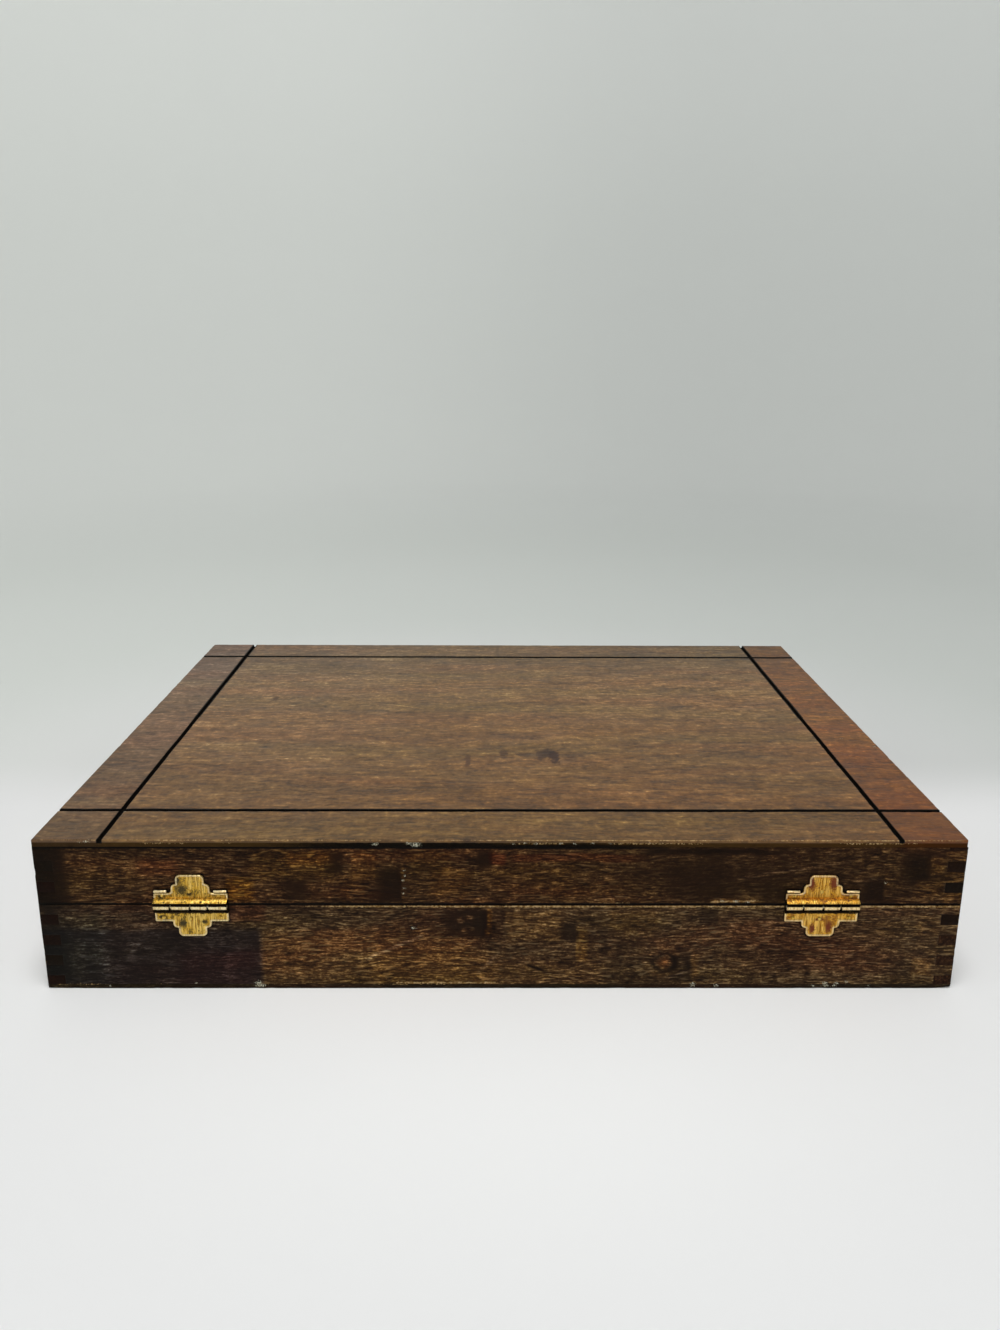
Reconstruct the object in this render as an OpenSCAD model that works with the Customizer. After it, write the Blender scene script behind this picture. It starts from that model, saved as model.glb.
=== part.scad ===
// Silverware chest: a shallow finger-jointed wooden box with a hinged lid.
// +Z is up, the hinges are on the +Y side and the clasp is on the -Y side.
// The origin is the middle of the underside of the bottom panel.

/* [Chest] */
// Length of the chest, along X
chest_w = 381; // [340:1:460]
// Depth of the chest, from the clasp side to the hinge side
chest_d = 280; // [275:1:330]
// Thickness of the frame boards
board_t = 7.6; // [6.5:0.1:9]
// Thickness of the bottom panel
bottom_t = 2; // [1.5:0.1:4]
// Thickness of the top panel
top_t = 3.2; // [2.8:0.1:5]
// Height of one finger of the corner joints
finger_h = 4.76; // [4.7:0.01:5]
// How much the lowest finger is cut short
finger_cut = 0.56; // [0:0.02:1]
// Height of the frame before the lid was sawn off
frame_h = 67.6; // [66.5:0.1:72]
// Height of the base frame above the bottom panel
base_h = 37.5; // [36:0.1:40]
// Wood lost between base and lid, to the saw and to planing the cut
kerf = 4.16; // [3.2:0.02:4.2]

/* [Top grooves] */
// Distance from an edge of the top to the middle of its groove
groove_in = 27.5; // [15:0.5:40]
// Width of a groove
groove_w = 2; // [1:0.1:4]
// Depth of a groove
groove_deep = 1.5; // [0.5:0.1:2]

/* [Hinges] */
// Place of the left hinge along X
hinge_x_left = -132.5; // [-150:0.5:-90]
// Place of the right hinge along X
hinge_x_right = 127.5; // [90:0.5:150]
// Distance of the hinge pin from the back face
pin_out = 1.6; // [1.6:0.05:2]
// Radius of the rolled knuckles
knuckle_r = 1.5; // [1.4:0.05:1.5]
// Radius of the hinge pin
pin_r = 0.75; // [0.6:0.05:0.8]
// Running clearance round the pin in the lid's knuckles
pin_clear = 0.05; // [0.02:0.01:0.1]
// Thickness of the hinge leaves
leaf_t = 0.8; // [0.5:0.1:1]
// Half of the angle that the lid opens to, where the leaves' lips meet
lip_angle = 51; // [45:0.5:55]

/* [Clasp] */
// Height of the hook's pivot above the table
pivot_z = 29.6; // [28:0.1:31]
// Distance from the pivot to the stud, which the hook reaches
hook_reach = 15; // [14.5:0.1:16]
// How far past upright the hook lies when it is latched, in degrees
hook_over = 10; // [5:1:12]
// Thickness of the hook
hook_t = 1.2; // [0.8:0.1:1.6]
// Radius of the stud's neck
stud_r = 1.5; // [1.2:0.1:1.6]
// Radius of the pivot rivet
rivet_r = 1.25; // [1:0.05:1.4]

/* [Lining] */
// Thickness of the cloth-covered card on the walls and the lid
lining_t = 1.2; // [0.8:0.1:2]
// Thickness of the cloth-covered card on the floor
floor_t = 1.5; // [1:0.1:2]

/* [Flatware racks] */
// Number of slots in each rack bar of the base
rack_slots = 12; // [8:1:12]
// Distance between the slots of the base
rack_pitch = 30; // [26:0.5:30]
// Width of a slot of the base
rack_slot_w = 15; // [12:0.5:16]
// Depth of a slot of the base
rack_slot_deep = 18; // [14:0.5:20]
// Height of a rack bar
rack_h = 24; // [22:0.5:28]
// Thickness of a rack bar
rack_t = 16; // [12:0.5:18]
// Distance of a rack bar's middle from the middle of the chest
rack_y = 70; // [60:1:85]

/* [Knife rack] */
// Number of knife slots in the lid
knife_slots = 8; // [6:1:8]
// Distance between the knife slots
knife_pitch = 42; // [36:0.5:44]
// Width of a knife slot
knife_slot_w = 14; // [12:0.5:15]
// Depth of a knife slot
knife_slot_deep = 15; // [12:0.5:16]
// Height of the handle bar
knife_h = 19; // [18:0.5:20]
// Thickness of the handle bar
knife_t = 18; // [14:0.5:20]
// Place of the handle bar's middle along Y
knife_y = 64; // [50:1:80]
// Width of the strip that the blades slide under
pocket_w = 30; // [24:1:36]
// Room under that strip
pocket_gap = 9; // [7:0.5:10]
// Thickness of that strip
pocket_t = 4; // [3:0.5:5]
// Place of the strip's outer edge along Y
pocket_y = -118; // [-122:1:-110]

/* [Hidden] */
$fn = 48;
eps = 0.01;
finger_n = ceil((frame_h + finger_cut) / finger_h);
// A finger cut to less than this is left to its neighbour
finger_min = 1;
seam_z = bottom_t + base_h;
lid_top_z = bottom_t + frame_h - kerf;
full_h = lid_top_z + top_t;
hw = chest_w / 2;
hd = chest_d / 2;
in_x = hw - board_t;
in_y = hd - board_t;
pin_y = hd + pin_out;
// The four knuckles of a hinge, as ends along X
knuckle_x = [-15, -7.2, 0, 8.2, 15];
knuckle_gap = 0.3;
// The leaf's outline: half width and reach from the pin, from the wings to the top
wing_w = 30.5;
wing_reach = 7.5;
step_w = 16.4;
step_reach = 10.2;
crown_w = 12.4;
crown_reach = 14.4;
leaf_start = 2.2;
nail_r = 0.45;
nail_head_r = 0.85;
nail_head_h = 0.45;
nail_len = 5;
// The hinge nails of one leaf: place along X and reach from the pin
hinge_nails = [[-11.6, 5.7], [11.6, 5.7], [0.5, 6.2]];
lip_r0 = 1.75;
lip_r1 = 2.9;
// The clasp, along X: the stud stands as far to one side as the pivot to the other
hook_dx = hook_reach * sin(hook_over);
pivot_x = hook_dx / 2;
stud_x = -hook_dx / 2;
stud_z = pivot_z + hook_reach * cos(hook_over);
plate_t = 0.8;
// Room between the plates and the hook, which lets it pass over the nail heads
hook_gap = 0.6;
boss_h = 0.5;
front_y = -hd;
hook_y0 = front_y - plate_t - hook_gap;
hook_y1 = hook_y0 - hook_t;
head_gap = 0.15;
head_h = 0.9;
rivet_clear = 0.05;
stud_clear = 0.3;
ring_r = 3;
// Balances the mouth, so that the hook hangs straight
head_shift = 0.6;
clasp_nails_base = [[-4.6, 25.6], [4.6, 25.6], [-4.6, 35.2], [4.6, 35.2]];
clasp_nails_lid = [[-4.6, 50.2], [4.6, 50.2]];
lid_in_z = lid_top_z - lining_t;

// ---- helpers ----

// Cylinder along Y from y0 to y1 at x, z
module rod_y(x, z, r, y0, y1, fn = 48) {
    translate([x, max(y0, y1), z]) rotate([90, 0, 0]) cylinder(r = r, h = abs(y1 - y0), $fn = fn);
}

// Cylinder along X from x0 to x1 at y, z
module rod_x(y, z, r, x0, x1, fn = 48) {
    translate([x0, y, z]) rotate([0, 90, 0]) cylinder(r = r, h = x1 - x0, $fn = fn);
}

// Fingers of one parity within one span of the uncut frame's height
module fingers(odd, lo, hi, sx, sy) {
    for (i = [0:finger_n - 1])
        if (i % 2 == (odd ? 1 : 0)) {
            z0 = i * finger_h - finger_cut;
            z1 = z0 + finger_h;
            a = z0 < lo + finger_min ? lo : z0;
            b = z1 > hi - finger_min ? hi : z1;
            if (min(hi, z1) - max(lo, z0) > finger_min) translate([0, 0, a]) cube([sx, sy, b - a]);
        }
}

// Front or back board: s is the side, -1 for the front, lo to hi its span of the uncut frame
module long_board(s, lo, hi, dz) {
    y0 = s > 0 ? in_y : -hd;
    translate([0, 0, dz]) {
        translate([-in_x, y0, lo]) cube([2 * in_x, board_t, hi - lo]);
        translate([-hw, y0, 0]) fingers(true, lo, hi, board_t + 1, board_t);
        translate([in_x - 1, y0, 0]) fingers(true, lo, hi, board_t + 1, board_t);
    }
}

// Left or right board
module side_board(s, lo, hi, dz) {
    x0 = s > 0 ? in_x : -hw;
    translate([0, 0, dz]) {
        translate([x0, -in_y, lo]) cube([board_t, 2 * in_y, hi - lo]);
        translate([x0, -hd, 0]) fingers(false, lo, hi, board_t, board_t + 1);
        translate([x0, in_y - 1, 0]) fingers(false, lo, hi, board_t, board_t + 1);
    }
}

module hinge_nail_holes(up) {
    for (hx = [hinge_x_left, hinge_x_right])
        for (n = hinge_nails)
            rod_y(hx + n[0], seam_z + (up ? n[1] : -n[1]), nail_r, hd + eps, hd + leaf_t - nail_len, 24);
}

module nail(x, z, y, s) {
    // Shank into the wood, head on the metal: s is the side that the head is on
    rod_y(x, z, nail_r, y + s * eps, y - s * nail_len, 24);
    translate([x, y, z]) rotate([s > 0 ? -90 : 90, 0, 0])
        rotate_extrude($fn = 32)
            intersection() {
                translate([0, nail_head_h - 1.1]) circle(r = 1.1, $fn = 48);
                square([nail_head_r, nail_head_h]);
            }
}

// ---- wood ----

module bottom_panel() color([0.26, 0.17, 0.1])
    translate([-hw, -hd, 0]) cube([chest_w, chest_d, bottom_t]);

module base_front_board() color([0.27, 0.17, 0.1]) difference() {
    long_board(-1, 0, base_h, bottom_t);
    for (n = clasp_nails_base) rod_y(n[0], n[1], nail_r, front_y - eps, front_y - plate_t + nail_len, 24);
    rod_y(pivot_x, pivot_z, rivet_r, front_y - eps, front_y + 5);
}

module base_back_board() color([0.24, 0.15, 0.09]) difference() {
    long_board(1, 0, base_h, bottom_t);
    hinge_nail_holes(false);
}

module base_left_board() color([0.25, 0.16, 0.1]) side_board(-1, 0, base_h, bottom_t);

module base_right_board() color([0.25, 0.16, 0.1]) side_board(1, 0, base_h, bottom_t);

module lid_front_board() color([0.27, 0.17, 0.1]) difference() {
    long_board(-1, base_h + kerf, frame_h, bottom_t - kerf);
    for (n = clasp_nails_lid) rod_y(n[0], n[1], nail_r, front_y - eps, front_y - plate_t + nail_len, 24);
    rod_y(stud_x, stud_z, stud_r, front_y - eps, front_y + 5);
}

module lid_back_board() color([0.24, 0.15, 0.09]) difference() {
    long_board(1, base_h + kerf, frame_h, bottom_t - kerf);
    hinge_nail_holes(true);
}

module lid_left_board() color([0.25, 0.16, 0.1]) side_board(-1, base_h + kerf, frame_h, bottom_t - kerf);

module lid_right_board() color([0.25, 0.16, 0.1]) side_board(1, base_h + kerf, frame_h, bottom_t - kerf);

module lid_top_panel() color([0.36, 0.22, 0.13]) difference() {
    translate([-hw, -hd, lid_top_z]) cube([chest_w, chest_d, top_t]);
    for (s = [-1, 1]) {
        translate([s * (hw - groove_in) - groove_w / 2, -hd - 1, full_h - groove_deep])
            cube([groove_w, chest_d + 2, groove_deep + 1]);
        translate([-hw - 1, s * (hd - groove_in) - groove_w / 2, full_h - groove_deep])
            cube([chest_w + 2, groove_w, groove_deep + 1]);
    }
}

// ---- lining ----

module wall_long(s, z0, z1) {
    y0 = s > 0 ? in_y - lining_t : -in_y;
    translate([-in_x, y0, z0]) cube([2 * in_x, lining_t, z1 - z0]);
}

module wall_side(s, z0, z1) {
    x0 = s > 0 ? in_x - lining_t : -in_x;
    translate([x0, -in_y + lining_t, z0]) cube([lining_t, 2 * (in_y - lining_t), z1 - z0]);
}

base_wall_z0 = bottom_t + floor_t;
base_wall_z1 = seam_z - 1.5;
lid_wall_z0 = seam_z + 1.5;
lid_wall_z1 = lid_in_z;

module base_floor_lining() color([0.36, 0.08, 0.1])
    translate([-in_x, -in_y, bottom_t]) cube([2 * in_x, 2 * in_y, floor_t]);
module base_front_lining() color([0.36, 0.08, 0.1]) wall_long(-1, base_wall_z0, base_wall_z1);
module base_back_lining() color([0.36, 0.08, 0.1]) wall_long(1, base_wall_z0, base_wall_z1);
module base_left_lining() color([0.36, 0.08, 0.1]) wall_side(-1, base_wall_z0, base_wall_z1);
module base_right_lining() color([0.36, 0.08, 0.1]) wall_side(1, base_wall_z0, base_wall_z1);
module lid_top_lining() color([0.36, 0.08, 0.1])
    translate([-in_x, -in_y, lid_in_z]) cube([2 * in_x, 2 * in_y, lining_t]);
module lid_front_lining() color([0.36, 0.08, 0.1]) wall_long(-1, lid_wall_z0, lid_wall_z1);
module lid_back_lining() color([0.36, 0.08, 0.1]) wall_long(1, lid_wall_z0, lid_wall_z1);
module lid_left_lining() color([0.36, 0.08, 0.1]) wall_side(-1, lid_wall_z0, lid_wall_z1);
module lid_right_lining() color([0.36, 0.08, 0.1]) wall_side(1, lid_wall_z0, lid_wall_z1);

// ---- racks ----

rack_x = in_x - lining_t;

// A slot cut down from z = 0: width w, depth d, with rounded bottom corners
module slot_cut(w, d, len) {
    r = 3;
    translate([-w / 2, -len / 2, -d + r]) cube([w, len, d - r + 5]);
    translate([-w / 2 + r, -len / 2, -d]) cube([w - 2 * r, len, d]);
    for (s = [-1, 1]) rod_y(s * (w / 2 - r), -d + r, r, -len / 2, len / 2);
}

module rack_bar(y) {
    difference() {
        translate([-rack_x, y - rack_t / 2, base_wall_z0]) cube([2 * rack_x, rack_t, rack_h]);
        for (i = [0:rack_slots - 1])
            translate([(i - (rack_slots - 1) / 2) * rack_pitch, y, base_wall_z0 + rack_h])
                slot_cut(rack_slot_w, rack_slot_deep, rack_t + 2);
    }
}

module flatware_rack_front() color([0.4, 0.09, 0.11]) rack_bar(-rack_y);
module flatware_rack_rear() color([0.4, 0.09, 0.11]) rack_bar(rack_y);

module knife_handle_bar() color([0.4, 0.09, 0.11]) difference() {
    translate([-rack_x, knife_y - knife_t / 2, lid_in_z - knife_h]) cube([2 * rack_x, knife_t, knife_h]);
    for (i = [0:knife_slots - 1])
        translate([(i - (knife_slots - 1) / 2) * knife_pitch, knife_y, lid_in_z - knife_h])
            rotate([180, 0, 0]) slot_cut(knife_slot_w, knife_slot_deep, knife_t + 2);
}

module knife_pocket_spacer() color([0.4, 0.09, 0.11])
    translate([-rack_x, pocket_y, lid_in_z - pocket_gap]) cube([2 * rack_x, 6, pocket_gap]);

module knife_pocket_strip() color([0.4, 0.09, 0.11])
    translate([-rack_x, pocket_y, lid_in_z - pocket_gap - pocket_t]) cube([2 * rack_x, pocket_w, pocket_t]);

// ---- hinges ----

// One step of the leaf's outline in X and Z, from the pin side out, with its far corners rounded
module step_2d(w, z0, z1, r) {
    translate([-w / 2, z0]) square([w, z1 - z0 - r]);
    translate([-w / 2 + r, z0]) square([w - 2 * r, z1 - z0]);
    for (s = [-1, 1]) translate([s * (w / 2 - r), z1 - r]) circle(r = r, $fn = 48);
}

module leaf_outline() {
    step_2d(wing_w, leaf_start, wing_reach, 0.5);
    step_2d(step_w, leaf_start, step_reach, 1.2);
    step_2d(crown_w, leaf_start, crown_reach, 1.6);
}

// A whole leaf at the pin's line, above it. knuckles holds the places of its own knuckles
module leaf_up(knuckles, bore_r) {
    difference() {
        union() {
            // Plate against the wood
            translate([0, -pin_out + leaf_t, 0]) rotate([90, 0, 0]) linear_extrude(leaf_t) leaf_outline();
            // Lip that stops the lid: its face is radial
            difference() {
                translate([-15, 0, 0]) rotate([90, 0, 90]) linear_extrude(30)
                    polygon([
                        [-pin_out, leaf_start], [-pin_out, 4], [-pin_out + leaf_t, 4.2],
                        [0.5, 3.5], [lip_r1 * cos(lip_angle), lip_r1 * sin(lip_angle)],
                        [0.9 * lip_r0 * cos(lip_angle), 0.9 * lip_r0 * sin(lip_angle)], [0, 1.2], [-0.4, leaf_start]
                    ]);
                rod_x(0, 0, lip_r0, -16, 16);
            }
            for (k = knuckles) {
                a = knuckle_x[k] + (k == 0 ? 0 : knuckle_gap / 2);
                b = knuckle_x[k + 1] - (k == 3 ? 0 : knuckle_gap / 2);
                translate([a, -pin_out, 0]) cube([b - a, leaf_t, leaf_start + 0.5]);
                rod_x(0, 0, knuckle_r, a, b);
            }
        }
        rod_x(0, 0, bore_r, -20, 20);
        for (n = hinge_nails) rod_y(n[0], n[1], nail_r, -pin_out - 1, 3, 24);
    }
}

module upper_leaf(hx) color([0.75, 0.57, 0.25])
    translate([hx, pin_y, seam_z]) leaf_up([0, 2], pin_r + pin_clear);

module lower_leaf(hx) color([0.72, 0.55, 0.24])
    translate([hx, pin_y, seam_z]) mirror([0, 0, 1]) leaf_up([1, 3], pin_r);

module hinge_pin(hx) color([0.6, 0.58, 0.5])
    rod_x(pin_y, seam_z, pin_r, hx - 15.15, hx + 15.15);

module hinge_left_lower_leaf() lower_leaf(hinge_x_left);
module hinge_right_lower_leaf() lower_leaf(hinge_x_right);
module hinge_left_upper_leaf() upper_leaf(hinge_x_left);
module hinge_right_upper_leaf() upper_leaf(hinge_x_right);
module hinge_left_pin() hinge_pin(hinge_x_left);
module hinge_right_pin() hinge_pin(hinge_x_right);

module hinge_nails_of(up) color([0.7, 0.55, 0.3])
    for (hx = [hinge_x_left, hinge_x_right])
        for (n = hinge_nails) nail(hx + n[0], seam_z + (up ? n[1] : -n[1]), hd + leaf_t, 1);

module hinge_upper_nails() hinge_nails_of(true);
module hinge_lower_nails() hinge_nails_of(false);

// ---- clasp ----

module plate_2d(x0, x1, z0, z1, r) {
    translate([x0 + r, z0]) square([x1 - x0 - 2 * r, z1 - z0]);
    translate([x0, z0 + r]) square([x1 - x0, z1 - z0 - 2 * r]);
    for (x = [x0 + r, x1 - r]) for (z = [z0 + r, z1 - r]) translate([x, z]) circle(r = r, $fn = 48);
}

module front_plate(x0, x1, z0, z1, r) {
    translate([0, front_y, 0]) rotate([90, 0, 0]) linear_extrude(plate_t) plate_2d(x0, x1, z0, z1, r);
}

module clasp_base_plate() color([0.75, 0.57, 0.25]) difference() {
    union() {
        front_plate(-7, 7, 23.4, 37.4, 2.4);
        // Pressed boss that carries the hook clear of the nail heads
        rod_y(pivot_x, pivot_z, 2.3, front_y - plate_t + 0.2, front_y - plate_t - boss_h);
    }
    rod_y(pivot_x, pivot_z, rivet_r, front_y - 2, front_y + 1);
    for (n = clasp_nails_base) rod_y(n[0], n[1], nail_r, front_y - 2, front_y + 1, 24);
}

module clasp_lid_plate() color([0.75, 0.57, 0.25]) difference() {
    front_plate(-7, 7, 41.2, 52.6, 2.4);
    rod_y(stud_x, stud_z, stud_r, front_y - 2, front_y + 1);
    for (n = clasp_nails_lid) rod_y(n[0], n[1], nail_r, front_y - 2, front_y + 1, 24);
}

// Round head on a neck: the neck runs into the wood
module headed_pin(x, z, r, head_r) {
    y1 = hook_y1 - head_gap;
    rod_y(x, z, r, front_y + 5, y1);
    translate([x, y1, z]) rotate([90, 0, 0]) rotate_extrude($fn = 48)
        union() {
            square([head_r, head_h * 0.45]);
            intersection() {
                translate([0, head_h - head_r * 1.6]) circle(r = head_r * 1.6, $fn = 64);
                square([head_r - 0.15, head_h]);
            }
        }
}

module clasp_pivot_rivet() color([0.75, 0.57, 0.25]) headed_pin(pivot_x, pivot_z, rivet_r, 2.3);
module clasp_stud() color([0.75, 0.57, 0.25]) headed_pin(stud_x, stud_z, stud_r, 2.5);

module clasp_base_nails() color([0.7, 0.55, 0.3])
    for (n = clasp_nails_base) nail(n[0], n[1], front_y - plate_t, -1);
module clasp_lid_nails() color([0.7, 0.55, 0.3])
    for (n = clasp_nails_lid) nail(n[0], n[1], front_y - plate_t, -1);

// The hook, drawn in X and Z with its pivot at the origin and hanging down.
// Its head has a slot that curves round the pivot and is open on the side it is swung towards.
module hook_2d() {
    slot_r = stud_r + stud_clear;
    difference() {
        union() {
            circle(r = ring_r);
            translate([-1.6, -hook_reach]) square([3.2, hook_reach]);
            translate([head_shift, -hook_reach]) circle(r = 3.9);
            // Finial to push the hook with
            translate([-1.1, -hook_reach - 5]) square([2.2, 3]);
            translate([0, -hook_reach - 5.2]) circle(r = 1.7);
        }
        circle(r = rivet_r + rivet_clear);
        translate([0, -hook_reach]) circle(r = slot_r);
        intersection() {
            difference() {
                circle(r = hook_reach + slot_r, $fn = 96);
                circle(r = hook_reach - slot_r, $fn = 96);
            }
            polygon([[0, 0], [0, -30], [30, -30]]);
        }
    }
}

module clasp_hook() color([0.78, 0.6, 0.28])
    translate([pivot_x, hook_y0, pivot_z]) rotate([90, 0, 0]) linear_extrude(hook_t) hook_2d();

bottom_panel();
base_front_board();
base_back_board();
base_left_board();
base_right_board();
base_floor_lining();
base_front_lining();
base_back_lining();
base_left_lining();
base_right_lining();
flatware_rack_front();
flatware_rack_rear();
hinge_left_lower_leaf();
hinge_right_lower_leaf();
hinge_left_pin();
hinge_right_pin();
hinge_lower_nails();
clasp_base_plate();
clasp_pivot_rivet();
clasp_base_nails();
lid_front_board();
lid_back_board();
lid_left_board();
lid_right_board();
lid_top_panel();
lid_top_lining();
lid_front_lining();
lid_back_lining();
lid_left_lining();
lid_right_lining();
knife_handle_bar();
knife_pocket_spacer();
knife_pocket_strip();
hinge_left_upper_leaf();
hinge_right_upper_leaf();
hinge_upper_nails();
clasp_lid_plate();
clasp_stud();
clasp_lid_nails();
clasp_hook();
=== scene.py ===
import math

import bmesh
import bpy
import numpy as np
from mathutils import Matrix, Vector


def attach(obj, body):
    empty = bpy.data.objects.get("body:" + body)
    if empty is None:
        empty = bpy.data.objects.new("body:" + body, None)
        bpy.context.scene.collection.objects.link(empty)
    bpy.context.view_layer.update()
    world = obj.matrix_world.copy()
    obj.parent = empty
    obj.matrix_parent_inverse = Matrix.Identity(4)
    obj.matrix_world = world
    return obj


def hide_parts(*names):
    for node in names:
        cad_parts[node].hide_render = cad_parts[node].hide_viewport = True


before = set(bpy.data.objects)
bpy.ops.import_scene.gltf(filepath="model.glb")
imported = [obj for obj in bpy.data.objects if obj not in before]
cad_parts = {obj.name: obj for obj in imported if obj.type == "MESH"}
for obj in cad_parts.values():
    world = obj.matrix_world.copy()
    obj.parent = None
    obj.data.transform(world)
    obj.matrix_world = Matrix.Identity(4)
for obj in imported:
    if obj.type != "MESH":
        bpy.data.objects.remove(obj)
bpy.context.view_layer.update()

# ------------------------------------------------------------------ sizes, in millimetres
HW, HD = 190.5, 140.0          # half length, half depth
IN_X, IN_Y = 182.9, 132.4      # inside faces of the frame boards
BOTTOM, SEAM, LIDTOP, FULL = 2.0, 39.5, 65.44, 68.64
GX, GY = HW - 27.5, HD - 27.5  # middles of the grooves in the top
FINGERS_BASE = [2.0] + [1.44 + 4.76 * i for i in range(1, 8)] + [SEAM]
FINGERS_LID = [SEAM] + [4.76 * i - 2.72 for i in range(10, 15)] + [LIDTOP]
PIN_Y = 141.6
HINGES = {"hinge_left": -132.5, "hinge_right": 127.5}


# ------------------------------------------------------------------ seeded noise
def _hash(i, j, k, s):
    n = (i * 73856093) ^ (j * 19349663) ^ (k * 83492791) ^ (s * 2654435761)
    n = n & 0xFFFFFFFF
    n = (((n >> 16) ^ n) * 0x45D9F3B) & 0xFFFFFFFF
    n = (((n >> 16) ^ n) * 0x45D9F3B) & 0xFFFFFFFF
    n = (n >> 16) ^ n
    return (n & 0xFFFFFF) / float(0xFFFFFF)


def vnoise(x, y, z, seed=0):
    """Smooth value noise from 0 to 1 at the given points."""
    x, y, z = np.broadcast_arrays(np.asarray(x, float), np.asarray(y, float), np.asarray(z, float))
    i, j, k = (np.floor(a).astype(np.int64) for a in (x, y, z))
    u, v, w = x - i, y - j, z - k
    u, v, w = (a * a * (3 - 2 * a) for a in (u, v, w))
    out = np.zeros(x.shape)
    for di in (0, 1):
        for dj in (0, 1):
            for dk in (0, 1):
                wt = (u if di else 1 - u) * (v if dj else 1 - v) * (w if dk else 1 - w)
                out += wt * _hash(i + di, j + dj, k + dk, seed)
    return out


def fbm(x, y, z, seed=0, octaves=3):
    out, amp, tot, f = 0.0, 1.0, 0.0, 1.0
    for o in range(octaves):
        out = out + amp * vnoise(np.asarray(x) * f + 17.3 * o, np.asarray(y) * f - 9.1 * o, np.asarray(z) * f + 4.7 * o, seed + o)
        tot += amp
        amp *= 0.5
        f *= 2.03
    return out / tot


def smooth(a, b, v):
    t = np.clip((v - a) / (b - a), 0, 1)
    return t * t * (3 - 2 * t)


# ------------------------------------------------------------------ mesh helpers
def lines(a, b, step, feats=(), offs=(0.0,)):
    """Grid lines from a to b, about step apart, with extra ones at each feature and at each offset on both sides of it."""
    keep = [a, b]
    for f in feats:
        for o in offs:
            keep += [f - o, f + o]
    keep = sorted(round(v, 5) for v in keep if a - 1e-6 <= v <= b + 1e-6)
    main = set(round(f, 5) for f in feats) | {round(a, 5), round(b, 5)}
    out = [keep[0]]
    for v in keep[1:]:
        gap = v - out[-1]
        if gap < 0.06:
            if v in main and gap > 1e-6 and out[-1] not in main:
                out[-1] = v
            elif v in main and gap > 1e-6:
                out.append(v)
            continue
        n = max(1, int(math.ceil(gap / step - 0.25)))
        base = out[-1]
        out += [base + gap * (i + 1) / n for i in range(n)]
    return np.array(out)


def cells(xs, ys, zs, solid):
    """The closed surface of the solid cells of a grid: (points, quads)."""
    nx, ny, nz = len(xs), len(ys), len(zs)
    pad = np.pad(solid, 1)
    core = pad[1:-1, 1:-1, 1:-1]

    def vid(i, j, k):
        return (i * ny + j) * nz + k

    quads = []
    for axis in range(3):
        for sgn in (0, 1):
            near = np.roll(pad, -1 if sgn else 1, axis=axis)[1:-1, 1:-1, 1:-1]
            i, j, k = np.argwhere(core & ~near).T
            if axis == 0:
                a = i + sgn
                q = [vid(a, j, k), vid(a, j + 1, k), vid(a, j + 1, k + 1), vid(a, j, k + 1)]
            elif axis == 1:
                a = j + sgn
                q = [vid(i, a, k), vid(i, a, k + 1), vid(i + 1, a, k + 1), vid(i + 1, a, k)]
            else:
                a = k + sgn
                q = [vid(i, j, a), vid(i + 1, j, a), vid(i + 1, j + 1, a), vid(i, j + 1, a)]
            q = np.stack(q, 1)
            quads.append(q if sgn else q[:, ::-1])
    quads = np.concatenate(quads)
    used, inv = np.unique(quads, return_inverse=True)
    quads = inv.reshape(quads.shape)
    k = used % nz
    j = (used // nz) % ny
    i = used // (nz * ny)
    pts = np.stack([np.asarray(xs)[i], np.asarray(ys)[j], np.asarray(zs)[k]], 1)
    return pts, quads


def new_object(name, pts, faces, mats, attrs=None, sharp=40.0, face_mat=None, smooth_shade=True):
    me = bpy.data.meshes.new(name)
    if isinstance(faces, np.ndarray):
        faces = faces.tolist()
    me.from_pydata((np.asarray(pts, float) * 0.001).tolist(), [], faces)
    for m in mats if isinstance(mats, (list, tuple)) else [mats]:
        me.materials.append(m)
    if face_mat is not None:
        me.polygons.foreach_set("material_index", np.asarray(face_mat, np.int32))
    for key, val in (attrs or {}).items():
        val = np.asarray(val, np.float32)
        if val.ndim == 2:
            rgba = np.ones((len(val), 4), np.float32)
            rgba[:, :3] = val
            me.attributes.new(key, "FLOAT_COLOR", "POINT").data.foreach_set("color", rgba.ravel())
        else:
            me.attributes.new(key, "FLOAT", "POINT").data.foreach_set("value", val)
    me.update()
    if smooth_shade:
        me.shade_smooth()
        me.set_sharp_from_angle(angle=math.radians(sharp))
    ob = bpy.data.objects.new(name, me)
    bpy.context.scene.collection.objects.link(ob)
    return ob


def stand_for(ob, body, slot, *cad):
    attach(ob, body)
    if cad:
        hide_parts(*cad)
    return ob


def round_edge(p, a1, s1, lim1, a2, s2, lim2, r):
    """Rounds one straight outside edge of a box, in place. r may differ from point to point."""
    d1 = s1 * p[:, a1] - (lim1 - r)
    d2 = s2 * p[:, a2] - (lim2 - r)
    far = np.hypot(d1, d2)
    hit = (d1 > 0) & (d2 > 0) & (far > r)
    k = np.where(hit, r / np.maximum(far, 1e-9), 1.0)
    p[:, a1] = np.where(hit, s1 * (lim1 - r + d1 * k), p[:, a1])
    p[:, a2] = np.where(hit, s2 * (lim2 - r + d2 * k), p[:, a2])


class Parts:
    """Collects closed shells into one mesh."""

    def __init__(self):
        self.pts, self.faces, self.n = [], [], 0

    def add(self, pts, faces):
        pts = np.asarray(pts, float)
        self.pts.append(pts)
        self.faces += [[i + self.n for i in f] for f in (faces.tolist() if isinstance(faces, np.ndarray) else faces)]
        self.n += len(pts)

    def get(self):
        return np.concatenate(self.pts), self.faces


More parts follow.
